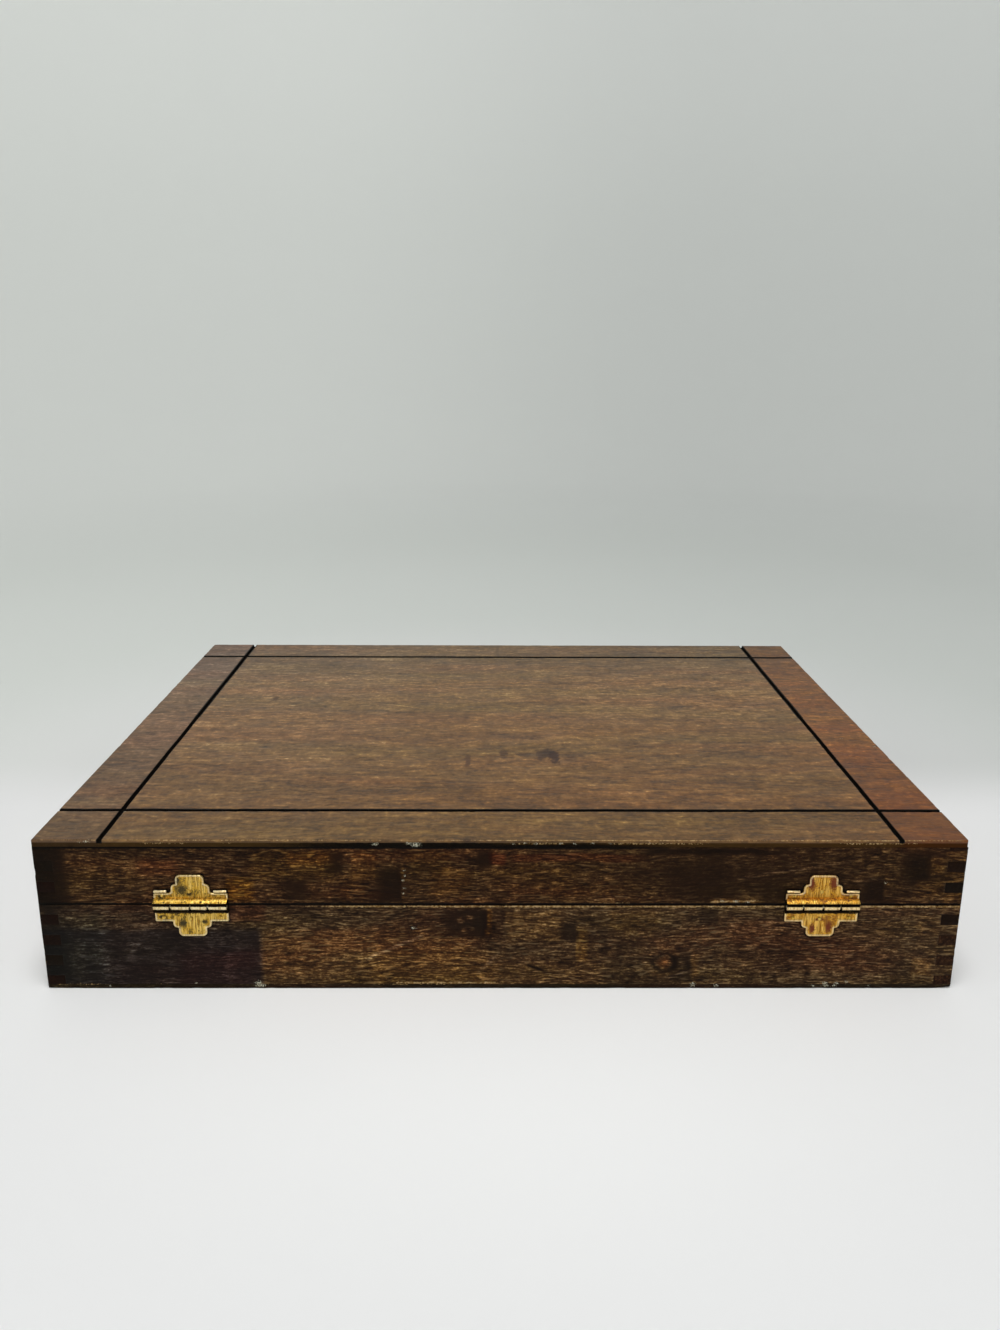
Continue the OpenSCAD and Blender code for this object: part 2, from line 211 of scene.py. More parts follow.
def rings_solid(rings):
    """Joins rings of the same number of points, with a flat cap at each end. Each ring is an (n, 3) array; the first ring's cap faces backwards."""
    n = len(rings[0])
    pts = np.concatenate(rings)
    faces = []
    for r in range(len(rings) - 1):
        a, b = r * n, (r + 1) * n
        for i in range(n):
            j = (i + 1) % n
            faces.append([a + i, a + j, b + j, b + i])
    faces.append(list(range(n))[::-1])
    faces.append([(len(rings) - 1) * n + i for i in range(n)])
    return pts, faces


def lathe(profile, axis, at, segs=32, phase=0.0):
    """A solid of revolution. profile is [(radius, height)] from the bottom's middle to the top's middle; axis is 'x', 'y' or '-y'."""
    pts, faces = [], []
    rows = []
    for r, h in profile:
        if r < 1e-6:
            rows.append([len(pts)])
            pts.append((0.0, 0.0, h))
        else:
            row = []
            for s in range(segs):
                a = 2 * math.pi * s / segs + phase
                row.append(len(pts))
                pts.append((r * math.cos(a), r * math.sin(a), h))
            rows.append(row)
    for p, q in zip(rows, rows[1:]):
        for s in range(segs):
            t = (s + 1) % segs
            if len(p) == 1:
                faces.append([p[0], q[s], q[t]][::-1] if len(q) > 1 else [])
            elif len(q) == 1:
                faces.append([p[s], p[t], q[0]])
            else:
                faces.append([p[s], p[t], q[t], q[s]])
    closed = abs(profile[0][0] - profile[-1][0]) < 1e-9 and abs(profile[0][1] - profile[-1][1]) < 1e-9 and profile[0][0] > 1e-6
    pts = np.array(pts)
    if closed:  # a ring: the last row is the first again
        first, last = rows[0], rows[-1]
        swap = {b: a for a, b in zip(first, last)}
        faces = [[swap.get(i, i) for i in f] for f in faces]
        pts = pts[: last[0]]
    if axis == "x":
        m = np.array([[0, 0, 1], [1, 0, 0], [0, 1, 0]], float)
    elif axis == "y":
        m = np.array([[0, 1, 0], [0, 0, 1], [1, 0, 0]], float)
    else:
        m = np.array([[1, 0, 0], [0, 0, -1], [0, 1, 0]], float)
    out = pts @ m.T + np.array(at, float)
    return out, [f for f in faces if f]


def arc(cx, cy, r, a0, a1, n):
    return [(cx + r * math.cos(math.radians(a0 + (a1 - a0) * i / n)), cy + r * math.sin(math.radians(a0 + (a1 - a0) * i / n))) for i in range(n + 1)]


# ------------------------------------------------------------------ node helpers
def lin(*rgb):
    """sRGB numbers from 0 to 255 to linear colour."""
    out = []
    for c in rgb:
        c = c / 255.0
        out.append(c / 12.92 if c <= 0.04045 else ((c + 0.055) / 1.055) ** 2.4)
    return tuple(out) + (1.0,)


class Tree:
    def __init__(self, name):
        self.mat = bpy.data.materials.new(name)
        self.mat.use_nodes = True
        self.t = self.mat.node_tree
        self.t.nodes.clear()
        self.out = self.t.nodes.new("ShaderNodeOutputMaterial")
        self.bsdf = self.t.nodes.new("ShaderNodeBsdfPrincipled")
        self.t.links.new(self.bsdf.outputs[0], self.out.inputs["Surface"])
        self._tc = None

    def put(self, socket, v):
        if hasattr(v, "is_output"):
            self.t.links.new(v, socket)
        elif isinstance(v, (tuple, list)) and socket.type == "RGBA" and len(v) == 3:
            socket.default_value = tuple(v) + (1.0,)
        else:
            socket.default_value = v

    def coord(self, kind="Object"):
        if self._tc is None:
            self._tc = self.t.nodes.new("ShaderNodeTexCoord")
        return self._tc.outputs[kind]

    def math(self, op, a, b=0.0, c=0.0, clamp=False):
        n = self.t.nodes.new("ShaderNodeMath")
        n.operation = op
        n.use_clamp = clamp
        self.put(n.inputs[0], a)
        self.put(n.inputs[1], b)
        self.put(n.inputs[2], c)
        return n.outputs[0]

    def add(self, a, b):
        return self.math("ADD", a, b)

    def mul(self, a, b):
        return self.math("MULTIPLY", a, b)

    def vec(self, op, a, b=(0, 0, 0), scale=1.0):
        n = self.t.nodes.new("ShaderNodeVectorMath")
        n.operation = op
        self.put(n.inputs[0], a)
        if op == "SCALE":
            self.put(n.inputs["Scale"], scale)
        else:
            self.put(n.inputs[1], b)
        return n.outputs["Value"] if op in ("LENGTH", "DOT_PRODUCT", "DISTANCE") else n.outputs["Vector"]

    def sep(self, v):
        n = self.t.nodes.new("ShaderNodeSeparateXYZ")
        self.put(n.inputs[0], v)
        return n.outputs

    def comb(self, x, y, z):
        n = self.t.nodes.new("ShaderNodeCombineXYZ")
        for s, v in zip(n.inputs, (x, y, z)):
            self.put(s, v)
        return n.outputs[0]

    def noise(self, v, scale=1.0, detail=2.0, rough=0.5, distortion=0.0, out="Fac"):
        n = self.t.nodes.new("ShaderNodeTexNoise")
        n.noise_dimensions = "3D"
        self.put(n.inputs["Vector"], v)
        n.inputs["Scale"].default_value = scale
        n.inputs["Detail"].default_value = detail
        n.inputs["Roughness"].default_value = rough
        n.inputs["Distortion"].default_value = distortion
        return n.outputs[out] if out in n.outputs else n.outputs[0]

    def voronoi(self, v, scale=1.0, feature="F1", out="Distance"):
        n = self.t.nodes.new("ShaderNodeTexVoronoi")
        n.feature = feature
        self.put(n.inputs["Vector"], v)
        n.inputs["Scale"].default_value = scale
        return n.outputs[out]

    def step(self, v, a, b, lo=0.0, hi=1.0):
        n = self.t.nodes.new("ShaderNodeMapRange")
        n.interpolation_type = "SMOOTHSTEP"
        self.put(n.inputs["Value"], v)
        n.inputs["From Min"].default_value = a
        n.inputs["From Max"].default_value = b
        n.inputs["To Min"].default_value = lo
        n.inputs["To Max"].default_value = hi
        return n.outputs["Result"]

    def mix(self, fac, a, b, blend="MIX", clamp=True):
        n = self.t.nodes.new("ShaderNodeMix")
        n.data_type = "RGBA"
        n.blend_type = blend
        n.clamp_factor = clamp
        self.put(n.inputs["Factor"], fac)
        self.put(n.inputs[6], a)
        self.put(n.inputs[7], b)
        return n.outputs[2]

    def ramp(self, fac, stops, interp="LINEAR"):
        n = self.t.nodes.new("ShaderNodeValToRGB")
        n.color_ramp.interpolation = interp
        el = n.color_ramp.elements
        while len(el) > len(stops):
            el.remove(el[-1])
        while len(el) < len(stops):
            el.new(1.0)
        for e, (p, c) in zip(el, stops):
            e.position = p
            e.color = tuple(c) if len(c) == 4 else tuple(c) + (1.0,)
        self.put(n.inputs["Fac"], fac)
        return n.outputs["Color"]

    def attr(self, name, out="Color"):
        n = self.t.nodes.new("ShaderNodeAttribute")
        n.attribute_name = name
        return n.outputs[out]

    def bump(self, height, strength, dist, normal=None):
        n = self.t.nodes.new("ShaderNodeBump")
        n.inputs["Strength"].default_value = strength
        n.inputs["Distance"].default_value = dist
        self.put(n.inputs["Height"], height)
        if normal is not None:
            self.put(n.inputs["Normal"], normal)
        return n.outputs[0]

    def set(self, **kw):
        for k, v in kw.items():
            self.put(self.bsdf.inputs[k.replace("_", " ")], v)
        return self.mat


# ------------------------------------------------------------------ wood
def wood(name, along, shades, gain, weights, spec, rough, seed=0.0, coat=0.0, drift=1.0, pores=0.5, shine=0.3, across=1.0, length=1.0, glint=0.3):
    """Stained, worn wood. The grain runs along one axis of the frame. The mesh carries tone (a tint), wear, fleck, and
    a dirt value that also holds painted shade.
    """
    m = Tree(name)
    co = m.vec("SCALE", m.coord("Object"), scale=1000.0)
    nrm = m.sep(m.vec("ABSOLUTE", m.coord("Normal")))
    if along == "y":
        x, y, z = m.sep(co)[0:3]
        co = m.comb(y, x, z)
        end = nrm[1]
    else:
        end = nrm[0]
    co = m.vec("ADD", co, (seed * 13.7, seed * 7.1, seed * 3.3))
    endmask = m.step(end, 0.55, 0.85)
    side = m.math("SUBTRACT", 1.0, endmask)
    wob = m.noise(m.vec("MULTIPLY", co, (1 / 60, 1 / 20, 1 / 20)), detail=2.0, out="Color")
    wob = m.vec("MULTIPLY", m.vec("SUBTRACT", wob, (0.5, 0.5, 0.5)), (0.0, 8.0, 8.0))
    p = m.vec("ADD", co, wob)

    def stretch(v, a, b):
        return m.vec("MULTIPLY", v, (a * length, b * across, b * across))

    fine = m.noise(stretch(p, 0.16, 1.15), detail=3.0, rough=0.62)
    short = m.noise(stretch(p, 0.42, 1.5), detail=2.0, rough=0.6)
    mid = m.noise(stretch(p, 0.050, 0.45), detail=2.0, rough=0.5)
    dash = m.noise(stretch(m.vec("ADD", p, (41.0, 13.0, 7.0)), 0.17, 1.3), detail=1.0, rough=0.5)
    band = m.noise(m.vec("MULTIPLY", p, (0.005, 0.085, 0.085)), detail=2.0, rough=0.5)
    blotch = m.noise(m.vec("MULTIPLY", co, (0.045, 0.075, 0.075)), detail=4.0, rough=0.6)
    curl = m.noise(m.vec("MULTIPLY", p, (0.20, 0.03, 0.03)), detail=2.0, rough=0.5)
    grain = m.noise(stretch(co, 0.8, 1.15), detail=2.0, rough=0.65)
    pore = m.noise(stretch(p, 0.26, 1.6), detail=1.0, rough=0.5)
    speck = m.noise(m.vec("MULTIPLY", co, (0.9, 0.9, 0.9)), detail=2.0, rough=0.6)

    def part(v, w):
        return m.mul(m.math("SUBTRACT", v, 0.5), w)

    g = part(fine, weights[0])
    for v, w in zip((short, mid, band, blotch, curl, grain), weights[1:]):
        g = m.add(g, part(v, w))
    eg = m.add(part(speck, weights[0]), part(blotch, weights[4] * 0.6))
    g = m.math("ADD", m.add(m.mul(g, side), m.mul(eg, endmask)), 0.5, clamp=True)
    col = m.ramp(g, [(q, tuple(gain * c for c in sh[:3])) for q, sh in zip((0.10, 0.38, 0.60, 0.82, 1.0), shades)])
    # Where the stain is thick the figure hardly shows
    tone = m.attr("tone")
    depth = m.vec("DOT_PRODUCT", tone, (0.35, 0.5, 0.15))
    bright = tuple(0.9 * gain * c for c in shades[4][:3]) + (1.0,)
    flat = tuple(gain * (0.5 * a + 0.5 * b) for a, b in zip(shades[1][:3], shades[2][:3])) + (1.0,)
    calm = m.step(depth, 0.67, 0.36)
    col = m.mix(m.mul(calm, 0.82), col, flat)
    # Slow drift between redder and more olive brown
    hue = m.noise(m.vec("MULTIPLY", p, (0.012, 0.06, 0.06)), detail=2.0)
    col = m.mix(m.mul(m.step(hue, 0.50, 0.66), drift), col, (1.16, 0.90, 0.84, 1), "MULTIPLY")
    col = m.mix(m.mul(m.step(hue, 0.50, 0.34), drift), col, (0.98, 1.04, 0.82, 1), "MULTIPLY")
    # Short dark pores, and pale specks of grain that are brightened as painted glints
    pmask = m.mul(m.step(pore, 0.57, 0.70), side)
    col = m.mix(m.mul(pmask, pores), col, (0.40, 0.38, 0.38, 1), "MULTIPLY")
    col = m.mix(m.mul(m.step(grain, 0.56, 0.76), shine), col, m.mix(1.0, col, (1.9, 1.8, 1.6, 1), "MULTIPLY"))
    # Painted glints: short pale streaks along the grain are lifted towards a bright colour, standing in for the wood's
    # shimmer
    lit = m.mul(m.mul(m.step(dash, 0.57, 0.68), side), m.mul(m.math("SUBTRACT", 1.0, m.mul(calm, 0.95)), glint))
    col = m.mix(lit, col, m.mix(0.45, m.mix(1.0, col, (2.3, 2.2, 2.0, 1), "MULTIPLY"), bright))
    col = m.mix(m.mul(endmask, 0.45), col, (0.45, 0.42, 0.42, 1), "MULTIPLY")
    # Painted tint of the place
    col = m.mix(1.0, col, tone, "MULTIPLY")
    # Worn edges: bare wood under the stain, broken up by noise
    crumb = m.noise(co, scale=1.3, detail=3.0, rough=0.65)
    wear = m.attr("wear", "Fac")
    wmask = m.step(m.add(wear, part(crumb, 1.7)), 0.58, 0.80)
    bare = m.mix(m.step(speck, 0.35, 0.65), lin(122, 92, 50), lin(196, 164, 114))
    col = m.mix(m.mul(wmask, 0.80), col, bare)
    # Darkening from the dirt value: dirt on the dark edges, darker grooves, and painted shade in the seam, in a band
    # under the top panel and round the hinge leaves and clasp plates
    dirt_and_shade = m.attr("dirt_and_shade", "Fac")
    dirt_shade_mask = m.step(m.add(dirt_and_shade, part(crumb, 0.5)), 0.25, 0.75)
    col = m.mix(dirt_shade_mask, col, lin(14, 12, 9))
    # Pale flecks
    fleck = m.attr("fleck", "Fac")
    small = m.noise(co, scale=2.4, detail=2.0, rough=0.6)
    kmask = m.step(m.add(fleck, part(small, 2.2)), 0.72, 0.84)
    col = m.mix(kmask, col, m.mix(m.step(crumb, 0.4, 0.6), lin(206, 206, 186), lin(160, 148, 118)))
    # Gloss and relief
    r = m.add(rough, m.add(part(blotch, 0.2), part(fine, 0.2)))
    r = m.add(r, m.mul(m.math("MAXIMUM", wmask, m.math("MAXIMUM", kmask, dirt_shade_mask)), 0.3))
    h = m.add(m.mul(fine, 0.6), m.mul(pmask, -0.5))
    h = m.add(h, m.mul(mid, 0.35))
    h = m.add(h, m.mul(kmask, 0.8))
    h = m.add(h, m.mul(wmask, -0.5))
    n1 = m.bump(h, 0.40, 0.00022)
    n2 = m.bump(blotch, 0.10, 0.002, n1)
    m.set(Base_Color=col, Roughness=m.math("ADD", r, 0.0, clamp=True), Normal=n2, Coat_Weight=coat, Coat_Roughness=0.3)
    m.bsdf.inputs["Specular IOR Level"].default_value = spec
    return m.mat


FRAME_SHADES = [lin(24, 15, 8), lin(47, 31, 18), lin(66, 46, 28), lin(108, 82, 52), lin(160, 132, 94)]
TOP_SHADES = [lin(62, 41, 20), lin(94, 68, 38), lin(114, 84, 50), lin(140, 108, 68), lin(176, 146, 104)]
FRAME_W = (1.55, 0.95, 0.42, 0.22, 0.36, 0.20, 0.70)
TOP_W = (1.05, 0.75, 0.60, 0.20, 0.40, 0.15, 0.55)
wood_x = wood("frame_wood_x", "x", FRAME_SHADES, 0.915, FRAME_W, 0.05, 0.50, 1.0, drift=0.7, glint=0.6)
wood_y = wood("frame_wood_y", "y", FRAME_SHADES, 0.915, FRAME_W, 0.05, 0.50, 2.0, drift=0.7, glint=0.40)
wood_top = wood("top_panel_wood", "x", TOP_SHADES, 1.19, TOP_W, 0.30, 0.46, 3.0, drift=0.25, pores=0.40, shine=0.30, across=0.32, length=0.62, glint=0.32)
wood_edge = wood("top_panel_edge", "x", TOP_SHADES, 0.8, TOP_W, 0.04, 0.65, 3.0, drift=0.25, pores=0.35, shine=0.25, across=0.6, length=0.8, glint=0.30)
wood_bottom = wood("bottom_panel_wood", "x", FRAME_SHADES, 1.0, FRAME_W, 0.04, 0.65, 4.0, glint=0.5)


# ------------------------------------------------------------------ painted tint of the frame
def blob(u, v, cu, cv, hu, hv, soft, warp=1.2, seed=0):
    """A patch from 0 to 1 in face coordinates. soft is how far each side fades: towards -u, +u, -v, +v."""
    wu = u + (fbm(u / 5, v / 5, 1.0, seed, 3) - 0.5) * 2 * warp
    wv = v + (fbm(u / 6, v / 4, 7.0, seed + 50, 3) - 0.5) * 2 * warp
    a = smooth(cu - hu - soft[0] / 2, cu - hu + soft[0] / 2 + 0.01, wu)
    b = 1 - smooth(cu + hu - soft[1] / 2, cu + hu + soft[1] / 2 + 0.01, wu)
    c = smooth(cv - hv - soft[2] / 2, cv - hv + soft[2] / 2 + 0.01, wv)
    d = 1 - smooth(cv + hv - soft[3] / 2, cv + hv + soft[3] / 2 + 0.01, wv)
    return a * b * c * d


DARK, GOLD, RED, PALE, OLIVE = (0.30, 0.30, 0.34), (1.75, 1.55, 1.10), (1.35, 0.72, 0.62), (2.0, 1.9, 1.6), (1.35, 1.35, 0.85)
# Patches of the back boards: middle x, middle z, half sizes, fades (-x, +x, -z, +z), tint, strength
REAR = [
    # lid
    (85, 57.5, 17, 6.5, (6, 8, 6, 3), OLIVE, 0.75), (79, 60.5, 9, 3, (4, 4, 3, 2), GOLD, 0.5),
    (56, 57, 5, 6.5, (3, 3, 4, 3), GOLD, 0.6), (21, 49.5, 8, 6.5, (5, 4, 4, 4), GOLD, 0.65),
    (30, 59, 9, 4.5, (6, 4, 4, 3), OLIVE, 0.5), (-12, 52, 16, 6, (8, 6, 5, 5), GOLD, 0.28),
    (68.5, 58, 4, 5.2, (1.2, 4, 3, 2), DARK, 0.75), (46.2, 48.4, 5.4, 8.2, (0.9, 8, 6, 6), DARK, 0.86),
    (40.2, 49, 0.7, 7.5, (0.5, 0.4, 2, 2), PALE, 0.65), (85, 46.5, 5, 5, (2, 5, 3, 4), DARK, 0.55),
    (61, 47.5, 5.5, 6, (3, 4, 4, 5), GOLD, 0.3), (7.2, 60, 3.2, 3.6, (0.7, 3, 3, 1.5), DARK, 0.75),
    (1.6, 60.3, 3, 2.6, (2, 1, 1.5, 1.5), RED, 0.9), (-30, 60.8, 26, 1.7, (14, 6, 1.6, 1.0), RED, 0.6),
    (107.5, 46.2, 5.5, 5.0, (4, 2, 2, 3), (2.5, 2.2, 0.8), 0.85), (140, 56.5, 9, 4, (6, 6, 4, 4), RED, 0.4),
    (155, 55, 24, 4.5, (9, 9, 4, 4), GOLD, 0.22), (-171, 56.0, 5.0, 6.2, (1.6, 8, 5, 6), DARK, 0.80),
    (-153.8, 45.8, 4.4, 5.2, (1.5, 6, 5, 5), DARK, 0.74), (-158.6, 49, 0.8, 6, (0.8, 0.5, 3, 3), PALE, 0.3),
    (-86, 63.4, 27, 1.1, (8, 8, 0.8, 0.8), DARK, 0.8), (-40, 46, 26, 5, (10, 10, 4, 5), OLIVE, 0.2),
    (-95, 50, 30, 7, (14, 10, 6, 6), DARK, 0.22), (184, 52, 6, 14, (5, 2, 6, 8), DARK, 0.7),
    (-178, 57, 3.5, 4, (2, 2, 2, 2), GOLD, 0.5), (-176, 47, 5, 4, (3, 3, 3, 3), GOLD, 0.35),
    (65.4, 57.6, 0.8, 1.6, (0.8, 0.8, 1, 1), PALE, 0.4), (-10.5, 56.5, 5, 0.7, (3, 3, 0.5, 0.5), PALE, 0.35),
    # base
    (147, 13.5, 47, 15.2, (3.0, 6, 3, 5), (0.38, 0.46, 0.84), 1.0), (178, 18, 14, 16, (9, 4, 4, 8), (0.85, 1.10, 1.15), 0.7),
    (118, 10, 16, 8, (8, 8, 4, 5), (1.25, 0.85, 0.95), 0.6), (106, 35.5, 8, 4, (4, 6, 3, 2), RED, 0.5),
    (150, 33.5, 40, 4.5, (8, 8, 3, 2), (0.62, 0.66, 0.85), 0.7),
    (55, 15, 44, 12, (14, 3, 8, 8), (1.5, 1.34, 1.0), 0.7), (28, 11, 26, 8, (10, 10, 5, 6), GOLD, 0.35),
    (70, 34, 18, 4, (8, 8, 3, 2), DARK, 0.35), (14.5, 30.5, 11, 7, (0.7, 9, 4, 3), DARK, 0.88),
    (3.2, 30, 4.8, 6.6, (1.2, 1.2, 3, 3), (0.55, 0.45, 0.42), 0.8), (5.2, 31, 0.9, 6, (0.6, 0.5, 2, 2), (5.2, 4.4, 2.0), 0.9),
    (-2.4, 34, 0.6, 3, (0.4, 0.4, 1, 1), PALE, 0.5), (-14, 29.5, 11.5, 7, (5, 2.5, 4, 3), GOLD, 0.55),
    (-28.0, 26.5, 3.6, 4.8, (0.5, 3.5, 2.5, 3), DARK, 0.85), (-33.4, 21, 2.3, 7.5, (2, 0.5, 3, 3), (1.9, 1.75, 1.0), 0.75),
    (-27, 14, 4, 4, (0.7, 3.5, 3, 3), DARK, 0.4), (-43, 22, 1.9, 6.5, (0.6, 2.5, 4, 5), DARK, 0.6),
    (-55, 31, 9, 6, (5, 5, 4, 3), GOLD, 0.35), (-46.5, 33, 1.2, 3.2, (0.6, 0.6, 1.5, 1.5), PALE, 0.3),
    (-76, 10.5, 4.0, 6.8, (1.4, 4, 5, 6), DARK, 0.82), (-81.7, 11, 1.4, 5.5, (1.4, 0.6, 3, 3), GOLD, 0.6),
    (-86.2, 34, 4, 4.2, (0.8, 5, 3, 3), DARK, 0.7), (-130, 20, 34, 12, (16, 14, 7, 7), (0.95, 0.78, 0.74), 0.6),
    (-146, 33, 3.4, 4, (1.2, 4, 3, 3), DARK, 0.4), (-171, 9.5, 4, 4.5, (1, 6, 3, 3), DARK, 0.55),
    (-177, 10, 4.2, 4.0, (3, 0.8, 3, 2.5), (1.7, 1.5, 1.1), 0.6), (-178, 30, 5, 5, (3, 4, 3, 3), GOLD, 0.25),
    (-12, 24, 14, 3, (6, 6, 3, 3), DARK, 0.25), (-16, 7, 27, 7.5, (10, 12, 3, 6), (1.28, 1.16, 1.02), 0.9),
]
# Thin scratches on the back boards: from, to, half width, tint, strength
SCRATCHES = [
    ((57.5, 13.5), (32.6, 25.2), 0.50, (2.5, 3.1, 4.6), 0.85), ((10.1, 7.0), (1.2, 16.5), 0.50, (2.6, 3.1, 4.2), 0.75),
    ((-9.5, 11.9), (-19.3, 8.0), 0.75, (0.04, 0.04, 0.05), 1.0), ((-96.5, 51.4), (-144.0, 59.2), 0.46, (2.6, 2.9, 3.6), 0.75),
    ((-144.0, 50.3), (-157.0, 51.2), 0.46, (2.8, 3.1, 3.8), 0.7), ((-34.6, 41.4), (-53.5, 43.2), 0.46, (2.8, 3.1, 3.8), 0.65),
    ((-68.0, 4.6), (-84.0, 9.5), 0.46, (2.8, 3.1, 4.2), 0.6), ((120.0, 55.0), (150.0, 51.6), 0.46, (2.5, 2.7, 3.0), 0.7),
    ((124.0, 52.4), (149.0, 49.8), 0.46, (2.4, 2.6, 2.9), 0.6), ((132.0, 57.4), (156.0, 55.6), 0.46, (2.3, 2.4, 2.6), 0.6),
    ((-86, 41.4), (-106, 40.9), 0.75, (4.6, 4.4, 4.0), 0.8), ((36.5, 27.8), (31.0, 25.6), 0.5, PALE, 0.7),
]
FINGER_TINTS_NEG = {0: 0.62, 2: 0.60, 4: 0.66, 6: 0.28, 10: 0.24, 12: 0.34, 14: 0.45}   # -X end of the back face
FINGER_TINTS_POS = {0: 0.5, 2: 0.5, 4: 0.45, 6: 0.5, 10: 0.45, 12: 0.45, 14: 0.5}      # +X end


def finger_row(z):
    """Number of the finger that a height lies in, counted from the bottom through the saw cut."""
    low = np.clip(np.floor((z - 1.44) / 4.76), 0, 7)
    high = np.maximum(np.floor((z + 2.72) / 4.76), 9)
    return np.where(z < SEAM, low, high).astype(int)


def tint(t, mask, colour, k):
    m = (mask * k)[:, None]
    return t * (1 - m + m * np.array(colour))


def rear_tone(x, z):
    t = np.where((z > SEAM)[:, None], np.array([0.77, 0.67, 0.56]), np.array([1.03, 1.05, 1.05]))
    t = t * np.where(z > SEAM, 1 - 0.20 * smooth(-15, -70, x), 1.0)[:, None]
    t = t * (0.78 + 0.46 * fbm(x / 30, z / 14, 0.0, 11, 3))[:, None]
    t *= (0.80 + 0.42 * fbm(x / 5.5, z / 22, 3.0, 12, 2))[:, None]
    for i, (cx, cz, hx, hz, soft, colour, k) in enumerate(REAR):
        t = tint(t, blob(x, z, cx, cz, hx, hz, soft, 0.9, 20 + i), colour, k)
    # Ring of a small knot
    d = np.hypot((x + 68.6) / 1.15, z - 12.4) + (fbm(x / 3, z / 3, 2.0, 91, 2) - 0.5) * 1.6
    t = tint(t, np.exp(-(((d - 4.0) / 0.9) ** 2)), (0.22, 0.22, 0.26), 0.85)
    t = tint(t, np.exp(-(((d - 6.2) / 0.9) ** 2)), (1.9, 1.8, 1.6), 0.60)
    t = tint(t, np.exp(-((d / 2.1) ** 2)), (2.5, 1.7, 1.2), 0.9)
    # Small pale spots in the dark patch
    for cx, cz, r in ((16.9, 32.2, 1.0), (13.2, 33.2, 1.1), (15.2, 27.6, 1.0), (12.2, 28.2, 0.8)):
        t = tint(t, np.exp(-((np.hypot(x - cx, z - cz) / r) ** 2)), (4.6, 4.4, 3.8), 0.9)
    for (x0, z0), (x1, z1), w, colour, k in SCRATCHES:
        L = math.hypot(x1 - x0, z1 - z0)
        s = ((x - x0) * (x1 - x0) + (z - z0) * (z1 - z0)) / L
        o = ((x - x0) * (z1 - z0) - (z - z0) * (x1 - x0)) / L + (fbm(x / 4, z / 4, 5.0, 77, 2) - 0.5) * 0.8
        m = np.exp(-((o / max(w, 0.45)) ** 2)) * smooth(-1, 3, s) * (1 - smooth(L - 3, L + 1, s))
        t = tint(t, m, colour, k)
    # The +X end is stained nearly black, the -X end only a little
    t = tint(t, smooth(174, 187, x + 7 * (fbm(x / 8, z / 8, 0, 13, 3) - 0.5)), (0.36, 0.44, 0.50), 0.85)
    return t


def side_tone(u, z, seed):
    """Tint of a board that the photograph doesn't show, in the same manner. u is the length along the board."""
    t = np.ones((len(u), 3))
    t *= (0.88 + 0.30 * fbm(u / 38, z / 15, seed * 1.0, 31 + seed, 3))[:, None]
    t *= (0.86 + 0.30 * fbm(u / 7, z / 26, seed * 2.0, 41 + seed, 2))[:, None]
    rng = np.random.RandomState(900 + seed)
    for i in range(16):
        cu, cz = rng.uniform(-180, 180), rng.uniform(6, 62)
        hu, hz = rng.uniform(3, 10), rng.uniform(3.5, 7.5)
        sharp = rng.uniform(0.6, 1.6)
        soft = (sharp, hu, 3, 3) if rng.rand() < 0.5 else (hu, sharp, 3, 3)
        c, k = ((DARK, rng.uniform(0.45, 0.85)), (GOLD, rng.uniform(0.3, 0.6)), (RED, rng.uniform(0.2, 0.45)), (OLIVE, rng.uniform(0.3, 0.6)))[rng.randint(4)]
        t = tint(t, blob(u, z, cu, cz, hu, hz, soft, 1.0, 300 + 20 * seed + i), c, k)
    return t


